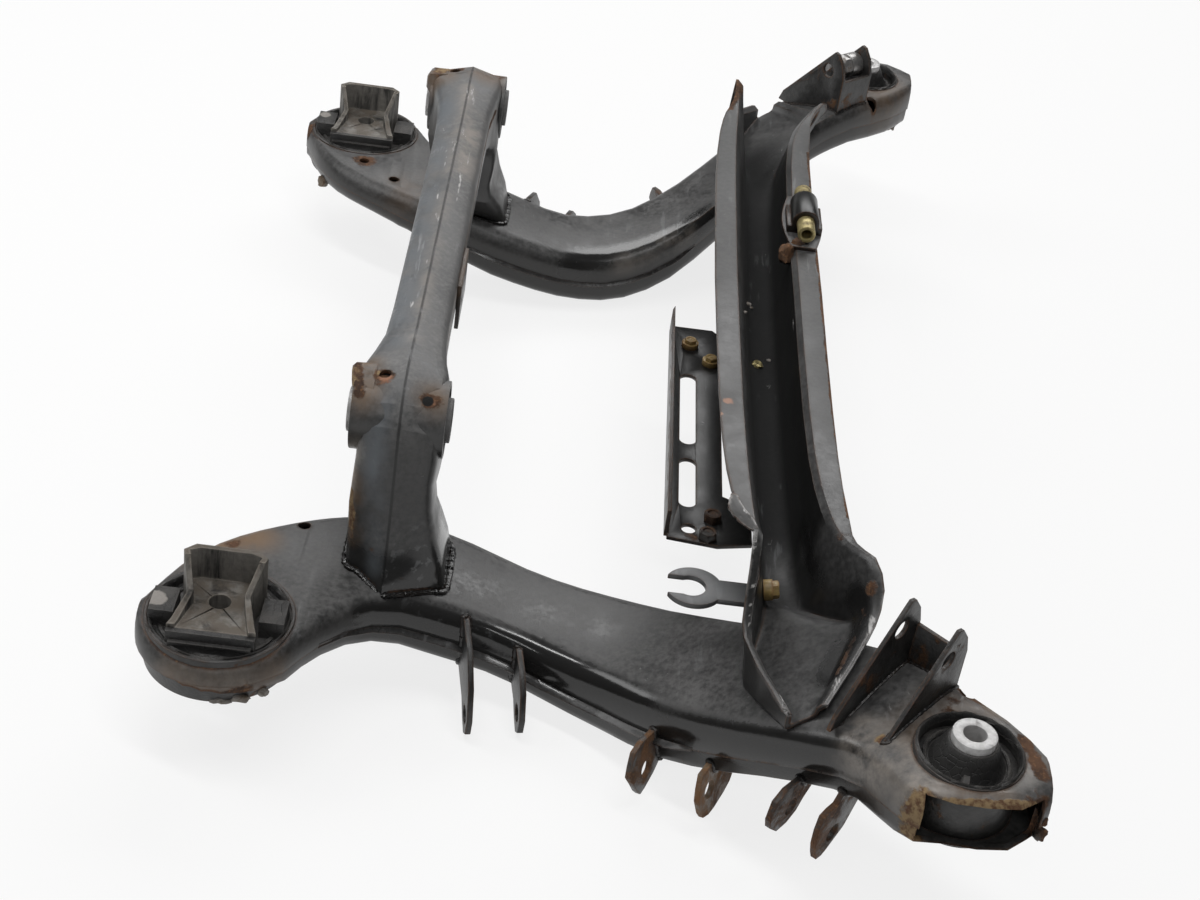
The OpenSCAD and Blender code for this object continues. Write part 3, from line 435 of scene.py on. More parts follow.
# In each paint the first colour is its side, painted darker as shade, and the second its top, painted lighter as
# light from above.
looks = {
    "member": paint("member_paint", gray(0.018, 0.07), gray(0.040), 0.44, MEMBER_RUST, MEMBER_STAINS, MEMBER_TAN,
                    glossy=MEMBER_GLOSS, pale=MEMBER_PALE),
    "bridge": paint("bridge_paint", gray(0.026, 0.02), gray(0.080, -0.02), 0.9, BRIDGE_RUST, BRIDGE_STAINS,
                    BRIDGE_TAN, BRIDGE_BARE, BRIDGE_SCRAPED, BRIDGE_GLOSS, pale=BRIDGE_PALE, sheen_places=BRIDGE_SHEEN,
                    speck=0.7, seam_x=98, calm=TOWER_BORES, hole_shade=TOWER_HOLE_SHADE),
    "tower_ring": paint("tower_ring_paint", gray(0.026, 0.02), gray(0.080, -0.02), 0.7, BRIDGE_RUST, BRIDGE_STAINS,
                        bare=BRIDGE_BARE, pale=BRIDGE_PALE, edge_rust=0.0, speck=0.5, hole_shade=TOWER_HOLE_SHADE),
    "lip": paint("lip_paint", gray(0.012, 0.05), gray(0.030), 0.12, edge_rust=0.25, sheen=0.20),
    "channel": paint("channel_paint", gray(0.0085, 0.02), gray(0.034), 0.30, CHANNEL_RUST, bare=CHANNEL_BARE,
                     scraped=CHANNEL_SCRAPED, glossy=CHANNEL_GLOSS, shade_places=CHANNEL_SHADE),
    "bracket": paint("bracket_paint", gray(0.008, 0.10), gray(0.008), 0.05, BRACKET_RUST),
    "fork": paint("fork_paint", gray(0.080, -0.03), gray(0.145, -0.03), 0.4, edge_rust=0.4),
    "tabs": rusty("tab_steel", gray(0.020, 0.03), 0.16, 0.2),
    "gray_tabs": rusty("gray_tab_steel", gray(0.060, 0.04), 0.62, 0.6),
    "orange_tabs": rusty("orange_tab_steel", (0.16, 0.12, 0.08, 1), 0.80, 1.0),
    "brown_tabs": rusty("brown_tab_steel", gray(0.022, 0.12), 0.80, 0.45),
    "clevis": rusty("clevis_steel", gray(0.040, 0.02), 0.34, 0.4, 1.0),
    "weld": rusty("weld_bead", gray(0.012), 0.06, 0.2, 0.1, 0.14),
    "root_weld": rusty("root_weld", gray(0.014), 0.12, 0.2, 0.3, 0.34),
    "crust": rusty("crust", (0.17, 0.13, 0.09, 1), 0.70, 0.8),
    "pale_crust": metal("pale_crust", gray(0.30, 0.08), (0.10, 0.075, 0.05, 1), 0.5, 0.85, 0.0),
    "bolts": rusty("bolt_rust", (0.36, 0.25, 0.09, 1), 0.42, 0.9),
    "zinc": metal("yellow_zinc", (0.50, 0.42, 0.20, 1), (0.12, 0.085, 0.04, 1), 0.42, 0.42, 0.6),
    "bolt_steel": metal("bolt_steel", gray(0.40, 0.02), (0.09, 0.065, 0.045, 1), 0.42, 0.4, 0.8),
    "bush": rusty("bush_steel", gray(0.038, 0.03), 0.26, 0.2, 0.6),
    "cast": metal("cast_core", (0.190, 0.178, 0.160, 1), gray(0.012, 0.06), 0.66, 0.55, 0.20,
                  streak=(1.0, 1.0, 0.14), rim=(0.26, 0.235, 0.20, 1), floor=(0.095, 0.078, 0.060, 1)),
    "bright": metal("bright_core", gray(0.60, 0.01), gray(0.20, 0.04), 0.26, 0.42, 0.35, dark_ends=places(
        ((MOUNT_RUN, -FRONT_Y, 2), 17, 1.0), ((MOUNT_RUN, FRONT_Y, 2), 17, 1.0))),
    "tower_core": metal("tower_core", gray(0.50, 0.01), gray(0.030, 0.05), 0.24, 0.45, 0.30, dark_ends=places(
        ((134, -TOWER_Y, TOWER_Z), 42, 1.0), ((134, TOWER_Y, TOWER_Z), 42, 1.0))),
    "rubber": rubber("rubber", places(((-41, -352, -56), 15, 0.95), ((-38, 352, -56), 12, 0.8))),
}

# Start of a node's name and its look: the first row that fits counts
LOOK_STARTS = [
    ("bridge", "bridge"), ("tower_sleeve", "tower_ring"), ("rear_sleeve", "bush"), ("front_sleeve", "bush"),
    ("cross", "channel"), ("clamp_plate", "channel"), ("clamp_block", "bracket"), ("clamp_bosses", "zinc"),
    ("drive_bracket_screws", "bolts"), ("drive_bracket", "bracket"),
    ("fork_bracket", "fork"), ("fork_bolt", "bolts"), ("link_bolt", "bolt_steel"), ("link_clevis", "clevis"),
    ("rear_core", "cast"), ("front_core", "bright"), ("tower_core", "tower_core"), ("tab_a", "tabs"),
    ("tab_b1", "gray_tabs"), ("tab_b2", "orange_tabs"), ("tab_c", "brown_tabs")]


def look_of(name):
    """The material of a node, from its name."""
    for part, look in (("pressing", "member"), ("rubber", "rubber")):
        if part in name:
            return looks[look]
    return next(looks[look] for start, look in LOOK_STARTS if name.startswith(start))


# Smooth shading of the pressings, with true sheet edges kept sharp

def smoothing_group(angle):
    group = bpy.data.node_groups.new("smooth_by_angle", "GeometryNodeTree")
    group.interface.new_socket("Geometry", in_out="INPUT", socket_type="NodeSocketGeometry")
    group.interface.new_socket("Geometry", in_out="OUTPUT", socket_type="NodeSocketGeometry")
    tree = group.nodes
    start, end = tree.new("NodeGroupInput"), tree.new("NodeGroupOutput")
    bare = tree.new("GeometryNodeRemoveAttribute")
    bare.inputs["Name"].default_value = "custom_normal"
    round_faces = tree.new("GeometryNodeSetShadeSmooth")
    round_faces.inputs["Shade Smooth"].default_value = True
    sharp_edges = tree.new("GeometryNodeSetShadeSmooth")
    sharp_edges.domain = "EDGE"
    sharp_edges.inputs["Shade Smooth"].default_value = False
    bend = tree.new("GeometryNodeInputMeshEdgeAngle")
    over = tree.new("ShaderNodeMath")
    over.operation = "GREATER_THAN"
    over.inputs[1].default_value = angle
    link = group.links.new
    link(start.outputs[0], bare.inputs["Geometry"])
    link(bare.outputs[0], round_faces.inputs["Geometry"])
    link(round_faces.outputs[0], sharp_edges.inputs["Geometry"])
    link(bend.outputs["Unsigned Angle"], over.inputs[0])
    link(over.outputs[0], sharp_edges.inputs["Selection"])
    link(sharp_edges.outputs[0], end.inputs[0])
    return group


SMOOTH = smoothing_group(math.radians(38))
# Edges that bend more than the angle are rounded, and points closer than the gap are one, in metres
EDGE_ROUND, EDGE_ANGLE = 0.0006, math.radians(50)
SAME_POINT = 0.00002


def smooth_by_angle(obj):
    obj.modifiers.new("smooth", "NODES").node_group = SMOOTH


def dress(name):
    """Gives a node its material, fine rounded edges and smooth shading."""
    obj = nodes[name]
    obj.data.materials.clear()
    obj.data.materials.append(look_of(name))
    weld = obj.modifiers.new("weld", "WELD")
    weld.merge_threshold = SAME_POINT
    bevel = obj.modifiers.new("edge", "BEVEL")
    bevel.width = EDGE_ROUND
    bevel.segments = 2
    bevel.limit_method = "ANGLE"
    bevel.angle_limit = EDGE_ANGLE
    bevel.use_clamp_overlap = True
    smooth_by_angle(obj)


for name in nodes:
    dress(name)


# Small forms that sit on the solids, in metres

UP = Vector((0, 0, 1))


class Form:
    """Points and faces gathered for one new piece."""

    def __init__(self):
        self.points, self.faces = [], []

    def add(self, points, faces):
        first = len(self.points)
        self.points += points
        self.faces += [[first + i for i in face] for face in faces]

    def rings(self, rings, round_trip=False):
        """Skin through rings of equal length, with both ends shut unless it runs round."""
        count, size = len(rings), len(rings[0])
        faces = []
        for i in range(count if round_trip else count - 1):
            a, b = i * size, (i + 1) % count * size
            faces += [[a + j, a + (j + 1) % size, b + (j + 1) % size, b + j] for j in range(size)]
        if not round_trip:
            faces += [list(range(size))[::-1], [(count - 1) * size + j for j in range(size)]]
        self.add([p for ring in rings for p in ring], faces)

    def piece(self, name, slot, look):
        mesh = bpy.data.meshes.new(name)
        mesh.from_pydata(self.points, [], self.faces)
        made = bmesh.new()
        made.from_mesh(mesh)
        bmesh.ops.recalc_face_normals(made, faces=made.faces)
        made.to_mesh(mesh)
        made.free()
        mesh.materials.append(looks[look])
        obj = bpy.data.objects.new(name, mesh)
        bpy.context.scene.collection.objects.link(obj)
        smooth_by_angle(obj)
        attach(obj, "root")
        return obj


def tree_of(*names):
    """The faces of some nodes, to be hit by rays or asked for the nearest point."""
    form = Form()
    for name in names:
        mesh = nodes[name].data
        form.add([v.co.copy() for v in mesh.vertices], [list(p.vertices) for p in mesh.polygons])
    return BVHTree.FromPolygons(form.points, form.faces)


def along(path, step):
    """Points at equal steps along a line through points."""
    made, rest = [path[0].copy()], step
    for a, b in zip(path, path[1:]):
        run = (b - a).length
        while run > 1e-9 and rest <= run:
            made.append(a.lerp(b, rest / run))
            rest += step
        rest -= run
    return made


BEAD_STEP = 0.0013
BEAD_RIPPLE = 0.0042
BEAD_SIDES = 8
BEAD_LOW, BEAD_WAVE, BEAD_FLAT = 0.78, 0.28, 0.85
BEAD_LEAST = 3


def bead(form, path, radius, draw, uneven):
    """A rope of small overlapping ripples along a path, as a weld leaves, with tapered ends."""
    line = along(path, BEAD_STEP)
    last = len(line) - 1
    if last < BEAD_LEAST:
        return
    rings = []
    for i, point in enumerate(line):
        ahead = (line[min(i + 1, last)] - line[max(i - 1, 0)]).normalized()
        side = ahead.cross(UP)
        side = side.normalized() if side.length > 0.05 else Vector((1, 0, 0))
        rise = side.cross(ahead)
        ripple = abs(math.sin(math.pi * i * BEAD_STEP / BEAD_RIPPLE))
        size = radius * (BEAD_LOW + BEAD_WAVE * ripple + draw.uniform(-uneven, uneven))
        size *= min(1.0, 0.35 + 0.3 * min(i, last - i))
        turns = [2 * math.pi * j / BEAD_SIDES for j in range(BEAD_SIDES)]
        rings.append([point + side * (size * math.cos(t)) + rise * (BEAD_FLAT * size * math.sin(t)) for t in turns])
    form.rings(rings)


# Depth and fineness of the broad and the fine noise that tear a crumb
LUMP_BROAD, LUMP_FINE = (0.42, 1.3), (0.20, 3.7)


def lump(form, place, size, draw, squash):
    """A torn crumb: a fine ball pushed in and out by noise."""
    made = bmesh.new()
    bmesh.ops.create_icosphere(made, subdivisions=3, radius=1.0)
    shift = Vector([draw.uniform(-50, 50) for _ in range(3)])
    for v in made.verts:
        push = 1
        for depth, fine in (LUMP_BROAD, LUMP_FINE):
            push += depth * noise.noise(v.co * fine + shift)
        v.co = Vector([c * k * size * push for c, k in zip(v.co, squash)]) + place
    made.verts.index_update()
    form.add([v.co.copy() for v in made.verts], [[v.index for v in f.verts] for f in made.faces])
    made.free()


# Mark of a profile's points that follow the corners, and least radius of a profile that ends at the axis
HEX = "flat"
AXIS_R = 0.0002


def turned(form, centre, axis, profile, sides, uneven=0.0, corners=None):
    """A ring turned round an axis from a closed [radius, height] profile, or a many-cornered one such as a nut."""
    axis = axis.normalized()
    first = axis.cross(Vector((0, 1, 0)) if abs(axis.y) < 0.9 else Vector((1, 0, 0))).normalized()
    second = axis.cross(first)
    rings = []
    for i in range(sides):
        turn = 2 * math.pi * i / sides
        way = first * math.cos(turn) + second * math.sin(turn)
        flat = 1.0
        if corners:
            part = math.pi / corners
            flat = math.cos(part) / math.cos((turn + part) % (2 * part) - part)
        ring = []
        for radius, height, *kind in profile:
            wave = uneven * noise.noise(way * 6 + axis * height * 900) if uneven else 0.0
            ring.append(centre + way * (radius * (flat if kind else 1.0) + wave) + axis * (height + wave))
        rings.append(ring)
    form.rings(rings, True)


def hex_head(form, centre, axis, across, height):
    """A six-sided bolt head or nut with a chamfered rim and a shallow dish."""
    r = across / 2 / math.cos(math.pi / 6)
    turned(form, centre, axis, [
        (AXIS_R, 0.0), (r, 0.0, HEX), (r, height * 0.80, HEX), (across / 2 * 0.96, height),
        (across * 0.34, height), (across * 0.30, height * 0.86), (AXIS_R, height * 0.84)], 48, corners=6)


def root_loops(name, tree, reach):
    """The closed lines where a node's cut end meets the nodes in a tree."""
    made = bmesh.new()
    made.from_mesh(nodes[name].data)
    bmesh.ops.remove_doubles(made, verts=made.verts, dist=SAME_POINT)
    near = {v for v in made.verts if tree.find_nearest(v.co)[3] < reach}
    ends = {f for f in made.faces if all(v in near for v in f.verts)}
    border = [e for e in made.edges if sum(f in ends for f in e.link_faces) == 1 and len(e.link_faces) == 2]
    joined = {}
    for e in border:
        for v in e.verts:
            joined.setdefault(v, []).append(e)
    loops, used = [], set()
    for e in border:
        if e in used:
            continue
        used.add(e)
        line = [e.verts[0], e.verts[1]]
        while True:
            step = next((n for n in joined[line[-1]] if n not in used), None)
            if step is None:
                break
            used.add(step)
            line.append(step.other_vert(line[-1]))
        loops.append([v.co.copy() for v in line])
    made.free()
    return loops


# Camera of the photograph, as focal length in its pixels, angles in degrees and place

LENS_PX = 2051.3
PHOTO_WIDE, PHOTO_HIGH = 1200, 900
PITCH, YAW, ROLL = 34.71, 2.68, 8.64
CAMERA_AT = Vector((-0.2803, -1.3538, 0.7793))


def camera_axes():
    pitch, yaw, roll = (math.radians(v) for v in (PITCH, YAW, ROLL))
    right = Vector((math.cos(yaw), -math.sin(yaw), 0))
    ahead = Vector((math.sin(yaw) * math.cos(pitch), math.cos(yaw) * math.cos(pitch), -math.sin(pitch)))
    up = right.cross(ahead)
    return math.cos(roll) * right + math.sin(roll) * up, math.cos(roll) * up - math.sin(roll) * right, ahead


def seen(x, y, tree):
    """Point and outward normal of the surface behind a pixel of the photograph."""
    right, up, ahead = camera_axes()
    ray = (ahead * LENS_PX + right * (x - PHOTO_WIDE / 2) + up * (PHOTO_HIGH / 2 - y)).normalized()
    point, normal, _, _ = tree.ray_cast(CAMERA_AT, ray)
    return point, -normal if normal.dot(ray) > 0 else normal


member_trees = {e: tree_of("upper_pressing_" + e, "lower_pressing_" + e) for e in SIDES}


# Weld beads round the bridge's feet, at the roots of the tabs and under the clevises

FOOT_X, FOOT_RIDGE, FOOT_OUTER, FOOT_INNER, FOOT_R = 98, 304, 286, 229, 9
FOOT_FRONT, FOOT_REAR = 40.5, 27.5
FOOT_SWELL = 1.03
FOOT_ABOVE = 120
FOOT_STEP, FOOT_LIFT, FOOT_BEAD = 0.004, 0.0006, 0.0024


def foot_plan():
    """Outline of a foot seen from above, once round from the ridge."""
    halves = []
    for f, w in ((1, FOOT_FRONT), (-1, FOOT_REAR)):
        half = [(FOOT_X, FOOT_RIDGE)]
        for edge, turns in ((FOOT_OUTER - FOOT_R, (90, 60, 30, 0)), (FOOT_INNER + FOOT_R, (0, -30, -60, -90))):
            for turn in turns:
                t = math.radians(turn)
                half.append((FOOT_X + f * (w - FOOT_R + FOOT_R * math.cos(t)), edge + FOOT_R * math.sin(t)))
        halves.append(half)
    middle = (FOOT_OUTER + FOOT_INNER) / 2
    loop = halves[0] + halves[1][::-1]
    return [(FOOT_X + (x - FOOT_X) * FOOT_SWELL, middle + (y - middle) * FOOT_SWELL) for x, y in loop]


def foot_weld(e, s):
    form, path = Form(), []
    for x, y in foot_plan():
        hit = member_trees[e].ray_cast(at(x, s * y, FOOT_ABOVE), -UP)[0]
        path.append(hit + UP * FOOT_LIFT)
    bead(form, along(path, FOOT_STEP), FOOT_BEAD, random.Random(3), 0.12)
    form.piece("foot_weld_" + e, "black_paint", "weld")


TAB_NAMES = ("a1", "a2", "b1", "b2", "c1", "c2")
TAB_BEAD, CLEVIS_BEAD, ROOT_REACH = 0.0021, 0.0016, 0.0005


def root_welds(e):
    draw = random.Random(11)
    for name, parts, radius in (("tab_welds_", ["tab_" + t for t in TAB_NAMES], TAB_BEAD),
                                ("clevis_weld_", ["link_clevis"], CLEVIS_BEAD)):
        form = Form()
        for part in parts:
            for loop in root_loops(part + "_" + e, member_trees[e], ROOT_REACH):
                bead(form, loop, radius, draw, 0.14)
        form.piece(name + e, "rusty_tabs", "root_weld")


for e, s in SIDES.items():
    foot_weld(e, s)
    root_welds(e)


# Lips of the side members' seams and ears on the tower heads

LIP_FROM, LIP_TO = 62, 318
LIP_OUTER, LIP_INNER, LIP_ENDS = 4.6, 2.6, 0.4
# Step along a lip in metres, and the steps over which it grows at its rear end and fades at its front end
LIP_STEP, LIP_GROWS, LIP_FADES = 0.004, 16, 4
# Fineness of the stations, points in a station's ring at least, and the rim's tolerance in metres
STATIONS_PER_MM, RING_POINTS, RIM_TOLERANCE = 20, 8, 0.0003


def seam_points(e, outer):
    """Corner points of the upper pressing's rim, station by station."""
    rows = {}
    for v in nodes["upper_pressing_" + e].data.vertices:
        rows.setdefault(round(v.co.x * (1000 * STATIONS_PER_MM)), []).append(v.co)
    made = []
    for key in sorted(rows):
        x = key / STATIONS_PER_MM + MOUNT_RUN
        if LIP_FROM <= x <= LIP_TO and len(rows[key]) >= RING_POINTS:
            low = min(p.z for p in rows[key])
            rim = [p for p in rows[key] if p.z < low + RIM_TOLERANCE]
            made.append((max if outer else min)(rim, key=lambda p: abs(p.y)).copy())
    return made


def seam_lip(form, e, s, outer, out):
    """A flared lip, in millimetres out from the wall, along one wall's seam."""
    line = along(seam_points(e, outer), LIP_STEP)
    last = len(line) - 1
    rings = []
    for i, point in enumerate(line):
        ahead = (line[min(i + 1, last)] - line[max(i - 1, 0)]).normalized()
        away = ahead.cross(UP).normalized()
        away *= 1 if away.y * s * (1 if outer else -1) > 0 else -1
        o = LIP_ENDS + (out - LIP_ENDS) * min(1.0, i / LIP_GROWS, (last - i) / LIP_FADES)
        wave = 0.5 * noise.noise(Vector((i * 0.13, 2.0 * s, out)))
        section = ((-2, 2.2), (0.2, 2.4), (0.3 * o, 1.5), (o - 0.7, 0.6), (o, -0.1),
                   (o - 0.1, -0.9), (o - 0.8, -1.4), (-2, -1.2))
        rings.append([point + (away * (u + (wave if u > 1 else 0)) + UP * v) / 1000 for u, v in section])
    form.rings(rings)


# Rows of the bridge round a tower head: ridge [y, z], underside [y, z], rear half width, reach of the ear
EAR_ROWS = [
    (227.5, 61.4, 200.3, 2.6, 30.5, 5.0), (229.5, 61.2, 201, 2, 30.5, 6.0), (235, 60.5, 203, -1, 30.3, 6.0),
    (244, 59, 206, -5, 30, 5.2), (250, 56.4, 207.2, -8, 29.4, 3.6), (255, 52.6, 208.3, -11, 28.8, 1.0)]
EAR_FROM, EAR_LIFT = 19.6, 0.14


def ear_ring(row, s):
    """Section of the ear that stands out behind a tower head's hole, sunk into the bridge's shell."""
    ridge, under, width, out = Vector(row[0:2]), Vector(row[2:4]), row[4], row[5]
    h = (ridge - under).length
    rise = (ridge - under) / h
    lift = EAR_LIFT * out
    line = [(EAR_FROM, h - 6.0), (EAR_FROM + 0.4, h - 5 + 0.8 * lift), (width - 4, h - 5.4 + lift),
            (width + 0.7 * out, h - 6.4 + lift), (width + out, h - 9.0 + 0.6 * lift), (width + out, h - 17),
            (width + 0.6 * out, h - 21), (width - 2, h - 23), (width - 3, h - 14)]
    return [at(FOOT_X - a, s * (under.x + rise.x * b), under.y + rise.y * b) for a, b in line]


for e, s in SIDES.items():
    form = Form()
    seam_lip(form, e, s, True, LIP_OUTER)
    seam_lip(form, e, s, False, LIP_INNER)
    form.piece("seam_lips_" + e, "black_paint", "lip")
    form = Form()
    form.rings([ear_ring(row, s) for row in EAR_ROWS])
    form.piece("tower_ear_" + e, "black_paint", "bridge")


# Moulded lips and struts of the bushes

# Rows of a strut: distance from the bush's axis, half width and height of its top, and depth of its foot
STRUT_ROWS = ((12.5, 3.6, 5.0), (16, 3.2, 2.5), (20, 3.1, -1.5), (25, 3.4, -3.5), (30, 4.6, -3.0))
STRUT_FOOT = -9
STRUT_HEADINGS = (-100, 80)


def strut(form, centre, way):
    """A rubber strut from the cone round the inner sleeve to the outer ring."""
    side = way.cross(UP)
    rings = []
    for r, half, top in STRUT_ROWS:
        line = ((-half, STRUT_FOOT), (-0.95 * half, top - 1.6), (-0.55 * half, top),
                (0.55 * half, top), (0.95 * half, top - 1.6), (half, STRUT_FOOT))
        rings.append([centre + (way * r + side * u + UP * v) / 1000 for u, v in line])
    form.rings(rings)


# Profiles of the moulded rings as [radius, height], and how uneven they are in metres
FRONT_LIP = [(29.4, -3.0), (32.0, -2.0), (32.2, 1.4), (31.0, 2.6), (29.8, 1.0)]
FRONT_GROOVE = [(23.4, -9.0), (26.6, -9.0), (26.4, -6.4), (25.0, -5.4), (23.8, -6.4)]
REAR_LIP = [(42.2, -5.0), (45.4, -5.0), (45.6, 0.6), (44.4, 1.8), (42.8, 0.2)]
REAR_RIB = [(36.0, -5.0), (39.6, -5.0), (39.2, -2.6), (37.8, -1.8), (36.4, -2.8)]
LIP_WAVE, RIB_WAVE = 0.0007, 0.0005
BUSH_SIDES = 96


def mm(rows):
    return [(r / 1000, z / 1000) for r, z in rows]


for e, s in SIDES.items():
    front, rear = at(MOUNT_RUN, s * FRONT_Y, 0), at(0, s * REAR_Y, REAR_Z)
    form = Form()
    turned(form, front, UP, mm(FRONT_LIP), BUSH_SIDES, LIP_WAVE)
    turned(form, front, UP, mm(FRONT_GROOVE), BUSH_SIDES, RIB_WAVE)
    for heading in STRUT_HEADINGS:
        t = math.radians(heading)
        strut(form, front, Vector((math.cos(t), math.sin(t), 0)))
    form.piece("front_bush_lips_" + e, "rubber", "rubber")
    form = Form()
    turned(form, rear, UP, mm(REAR_LIP), BUSH_SIDES, LIP_WAVE)
    turned(form, rear, UP, mm(REAR_RIB), BUSH_SIDES, RIB_WAVE)
    form.piece("rear_bush_lips_" + e, "rubber", "rubber")


# Crumbs of rust at edges, and lugs under the ends

def crust(name, look, seed, *crumbs):
    """One piece of crumbs, each a point, its size in millimetres and its squash."""
    form, draw = Form(), random.Random(seed)
    for place, size, squash in crumbs:
        lump(form, at(*place), size / 1000, draw, squash)
    form.piece(name, "rusty_tabs", look)


crust("window_crust", "brown_tabs", 21,
      ((502, -497, -30), 4.4, (0.8, 1, 1.3)), ((502, -496, -21), 3.2, (0.8, 0.9, 1.2)))
crust("rear_crust", "pale_crust", 22,
      ((34, -383, -97), 3.6, (1.1, 0.7, 1)), ((20, -391, -96.5), 4.2, (1.8, 0.9, 0.7)),
      ((8, -393, -97), 4.6, (1.9, 0.9, 0.6)), ((-4, -393, -96.5), 3.6, (1.6, 0.9, 0.6)))
crust("far_lugs", "crust", 23,
      ((493, 462, -44), 5.2, (0.9, 1, 1.2)), ((-30, 301, -97), 4.6, (1, 1, 1.3)))


# The torn rear lip at the channel's near end

# Rows of the torn lip: y, height, inner x on the lip, outer x at the tear
TORN_LIP = [
    (-281, 28.0, 319.5, 315.8), (-290, 28.4, 321.5, 313.6), (-299, 29.4, 324.5, 312.4), (-308, 31.6, 327.5, 313.2),
    (-316, 33.8, 329.2, 315.4), (-324, 36.0, 330.0, 319.6), (-331, 38.0, 330.2, 325.0)]
TORN_SHEET, TORN_RAISE, TORN_DEPTH = 1.3, 0.4, 1.5
# Steps from row to row and across the lip, and the rise of its tear where it is so wide
TORN_STEPS, TORN_SPLIT = 5, 4
TORN_CURL, TORN_WIDE = 2.2, 14


def torn_lip():
    """The rear lip's torn and curled end, as one bent sheet."""
    form, rings, rows = Form(), [], []
    for a, b in zip(TORN_LIP, TORN_LIP[1:]):
        rows += [tuple(u + (v - u) * k / TORN_STEPS for u, v in zip(a, b)) for k in range(TORN_STEPS)]
    for y, z, inner, outer in rows + [TORN_LIP[-1]]:
        torn = TORN_DEPTH * noise.noise(Vector((y * 0.31, 4.2, 0)))
        curl = TORN_CURL * (inner - outer) / TORN_WIDE
        upper = [(inner + (outer + torn - inner) * k / TORN_SPLIT, z + TORN_RAISE + curl * (k / TORN_SPLIT) ** 2)
                 for k in range(TORN_SPLIT + 1)]
        lower = [(x, h - TORN_SHEET) for x, h in upper[::-1]]
        rings.append([at(x, y, h) for x, h in upper + lower])
    form.rings(rings)
    form.piece("torn_lip", "black_paint", "channel")


torn_lip()


# Bolt heads, nuts and small fittings

# Sizes of heads and nuts across their flats, and their heights, in metres
FORK_HEAD, SCREW_HEAD, SIDE_HEAD, LINK_NUT = (0.0105, 0.0045), (0.0085, 0.0030), (0.0115, 0.0065), (0.019, 0.0085)
# Profile of the thread's end in the link nut
LINK_THREAD = [(AXIS_R, 0.004), (0.0052, 0.004), (0.0052, 0.0125), (0.0044, 0.0135), (AXIS_R, 0.0135)]
# Places of small things as pixels of the photograph, which are traced to the surface behind them
SIDE_HEADS = ((712, 520), (707, 538))
CLIP_AT = (757, 366)
CRUMBS = ((747, 304, 2.4), (744, 312, 1.5), (751, 308, 1.3), (769, 361, 1.6))
# Lean of the channel's rear wall, and turn of the link clevis
WALL_LEAN, CLEVIS_TURN = math.radians(78.3), math.radians(48)

channel_tree = tree_of("cross_channel", "drive_bracket")
form = Form()
fork_axis = Vector((math.sin(WALL_LEAN), 0, math.cos(WALL_LEAN)))
hex_head(form, at(346.2, -300, -32) + fork_axis * 0.0058, fork_axis, *FORK_HEAD)
for x, y in ((298, 8), (314, -14)):
    hex_head(form, at(x, y, -39.2), UP, *SCREW_HEAD)
form.piece("bolt_heads", "rusty_bolts", "bolts")

form = Form()
for x, y in SIDE_HEADS:
    place, normal = seen(x, y, channel_tree)
    hex_head(form, place - normal * 0.0005, normal, *SIDE_HEAD)
form.piece("bracket_bolt_heads", "rusty_bolts", "brown_tabs")

clevis_x = Vector((math.cos(CLEVIS_TURN), -math.sin(CLEVIS_TURN), 0))
clevis_y = Vector((math.sin(CLEVIS_TURN), math.cos(CLEVIS_TURN), 0))
nut = at(421.8, 419.6, 30) + clevis_x * 0.010 + clevis_y * 0.0037
form = Form()
hex_head(form, nut, -clevis_y, *LINK_NUT)
turned(form, nut, -clevis_y, LINK_THREAD, 32)
form.piece("link_nut_l", "bolt_steel", "bolt_steel")

draw = random.Random(31)
form = Form()
place, normal = seen(*CLIP_AT, channel_tree)
lump(form, place + normal * 0.001, 0.0034, draw, (1.3, 1, 0.9))
form.piece("channel_clip", "yellow_zinc", "zinc")
form = Form()
for x, y, size in CRUMBS:
    place, normal = seen(x, y, channel_tree)
    lump(form, place + normal * 0.0004, size / 1000, draw, (1.3, 1, 0.6))
form.piece("channel_crumbs", "rusty_tabs", "pale_crust")
form = Form()
lump(form, at(366, 64, 18), 0.0075, draw, (0.9, 1.25, 1.0))
lump(form, at(374, 72, 25), 0.0045, draw, (1.2, 1.0, 0.9))
form.piece("clamp_clip", "black_paint", "brown_tabs")


# Floor, light and camera

FLOOR_GLOW = 0.80
FLOOR_SIZE, FLOOR_GAP = 12.0, 0.001


def floor_material():
    """Pale matt floor, white to the camera and in reflections, which keeps the object's shadow."""
    material = bpy.data.materials.new("floor")
    material.use_nodes = True
    tree = material.node_tree
    surface = tree.nodes["Principled BSDF"]
    surface.inputs["Base Color"].default_value = (0.90, 0.90, 0.895, 1)
    surface.inputs["Roughness"].default_value = 0.9
    surface.inputs["Specular IOR Level"].default_value = 0.1
    glow = tree.nodes.new("ShaderNodeEmission")
    path = tree.nodes.new("ShaderNodeLightPath")
    share = path.outputs["Is Camera Ray"]
    for ray in ("Is Glossy Ray", "Is Transmission Ray"):
        most = tree.nodes.new("ShaderNodeMath")
        most.operation = "MAXIMUM"
        tree.links.new(share, most.inputs[0])
        tree.links.new(path.outputs[ray], most.inputs[1])
        share = most.outputs[0]
    part = tree.nodes.new("ShaderNodeMath")
    part.operation = "MULTIPLY"
    tree.links.new(share, part.inputs[0])
    part.inputs[1].default_value = FLOOR_GLOW
    both = tree.nodes.new("ShaderNodeMixShader")
    tree.links.new(part.outputs[0], both.inputs[0])
    tree.links.new(surface.outputs[0], both.inputs[1])
    tree.links.new(glow.outputs[0], both.inputs[2])
    tree.links.new(both.outputs[0], tree.nodes["Material Output"].inputs["Surface"])
    return material


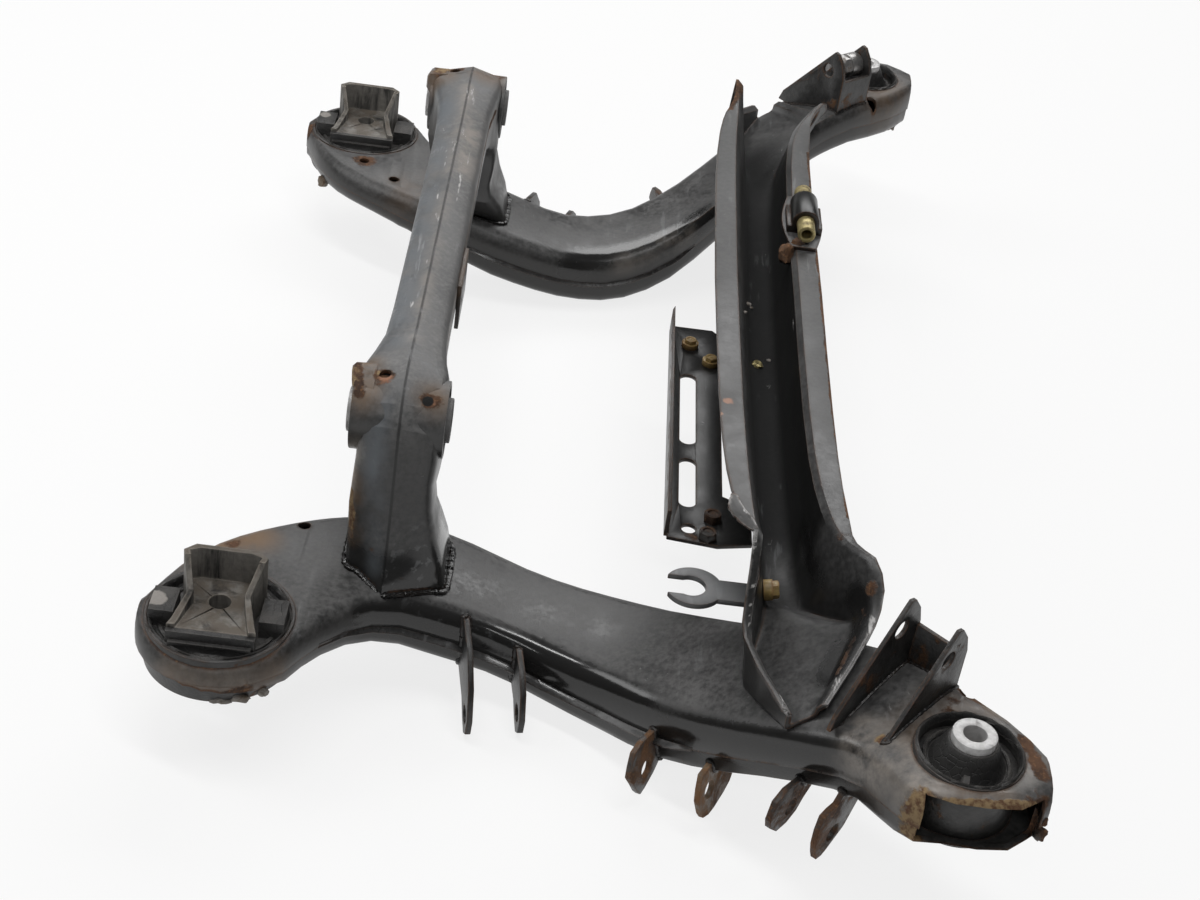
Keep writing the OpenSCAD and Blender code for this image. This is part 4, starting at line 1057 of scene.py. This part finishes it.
def make_floor():
    low = cad_box[0][2] - FLOOR_GAP
    corners = ((-1, -1), (1, -1), (1, 1), (-1, 1))
    mesh = bpy.data.meshes.new("floor")
    mesh.from_pydata([(x * FLOOR_SIZE, y * FLOOR_SIZE, low) for x, y in corners], [], [(0, 1, 2, 3)])
    mesh.materials.append(floor_material())
    floor = bpy.data.objects.new("floor", mesh)
    bpy.context.scene.collection.objects.link(floor)


WORLD_LOW, WORLD_HIGH = 0.46, 1.0


def make_world():
    """Soft sky that is brighter overhead than at the horizon."""
    world = bpy.data.worlds.new("studio")
    bpy.context.scene.world = world
    world.use_nodes = True
    tree = world.node_tree
    way = tree.nodes.new("ShaderNodeTexCoord")
    parts = tree.nodes.new("ShaderNodeSeparateXYZ")
    level = tree.nodes.new("ShaderNodeMapRange")
    level.inputs["From Min"].default_value = 0.0
    level.inputs["From Max"].default_value = 1.0
    level.inputs["To Min"].default_value = WORLD_LOW
    level.inputs["To Max"].default_value = WORLD_HIGH
    tree.links.new(way.outputs["Generated"], parts.inputs[0])
    tree.links.new(parts.outputs["Z"], level.inputs["Value"])
    tree.links.new(level.outputs["Result"], tree.nodes["Background"].inputs["Strength"])


# Soft lamps: name, place, target, size in metres and power in watts
LAMPS = (
    ("top", (-0.3, -0.3, 2.2), (-0.25, -0.2, -0.05), (2.0, 0.24), 26),
    ("back", (0.1, 2.0, 1.7), (-0.2, 0.0, -0.05), (2.6, 1.0), 38),
    ("left", (-1.9, 0.2, 1.4), (-0.2, -0.1, -0.05), (0.8, 1.4), 14),
    ("near", (-0.3, -2.2, 1.9), (-0.25, -0.4, -0.05), (1.8, 0.14), 8))


def area_light(name, place, target, size, power):
    data = bpy.data.lights.new(name, "AREA")
    data.shape = "RECTANGLE"
    data.size, data.size_y = size
    data.energy = power
    light = bpy.data.objects.new(name, data)
    bpy.context.scene.collection.objects.link(light)
    light.location = place
    light.rotation_euler = (Vector(target) - Vector(place)).to_track_quat("-Z", "Y").to_euler()


def make_camera():
    data = bpy.data.cameras.new("camera")
    data.sensor_fit = "HORIZONTAL"
    data.sensor_width = 36.0
    data.lens = LENS_PX * data.sensor_width / PHOTO_WIDE
    data.clip_end = 50
    camera = bpy.data.objects.new("camera", data)
    bpy.context.scene.collection.objects.link(camera)
    right, up, ahead = camera_axes()
    turn = Matrix((right, up, -ahead)).transposed()
    camera.matrix_world = Matrix.Translation(CAMERA_AT) @ turn.to_4x4()
    bpy.context.scene.camera = camera


make_floor()
make_world()
for lamp in LAMPS:
    area_light(*lamp)
make_camera()
bpy.context.scene.view_settings.view_transform = "Standard"
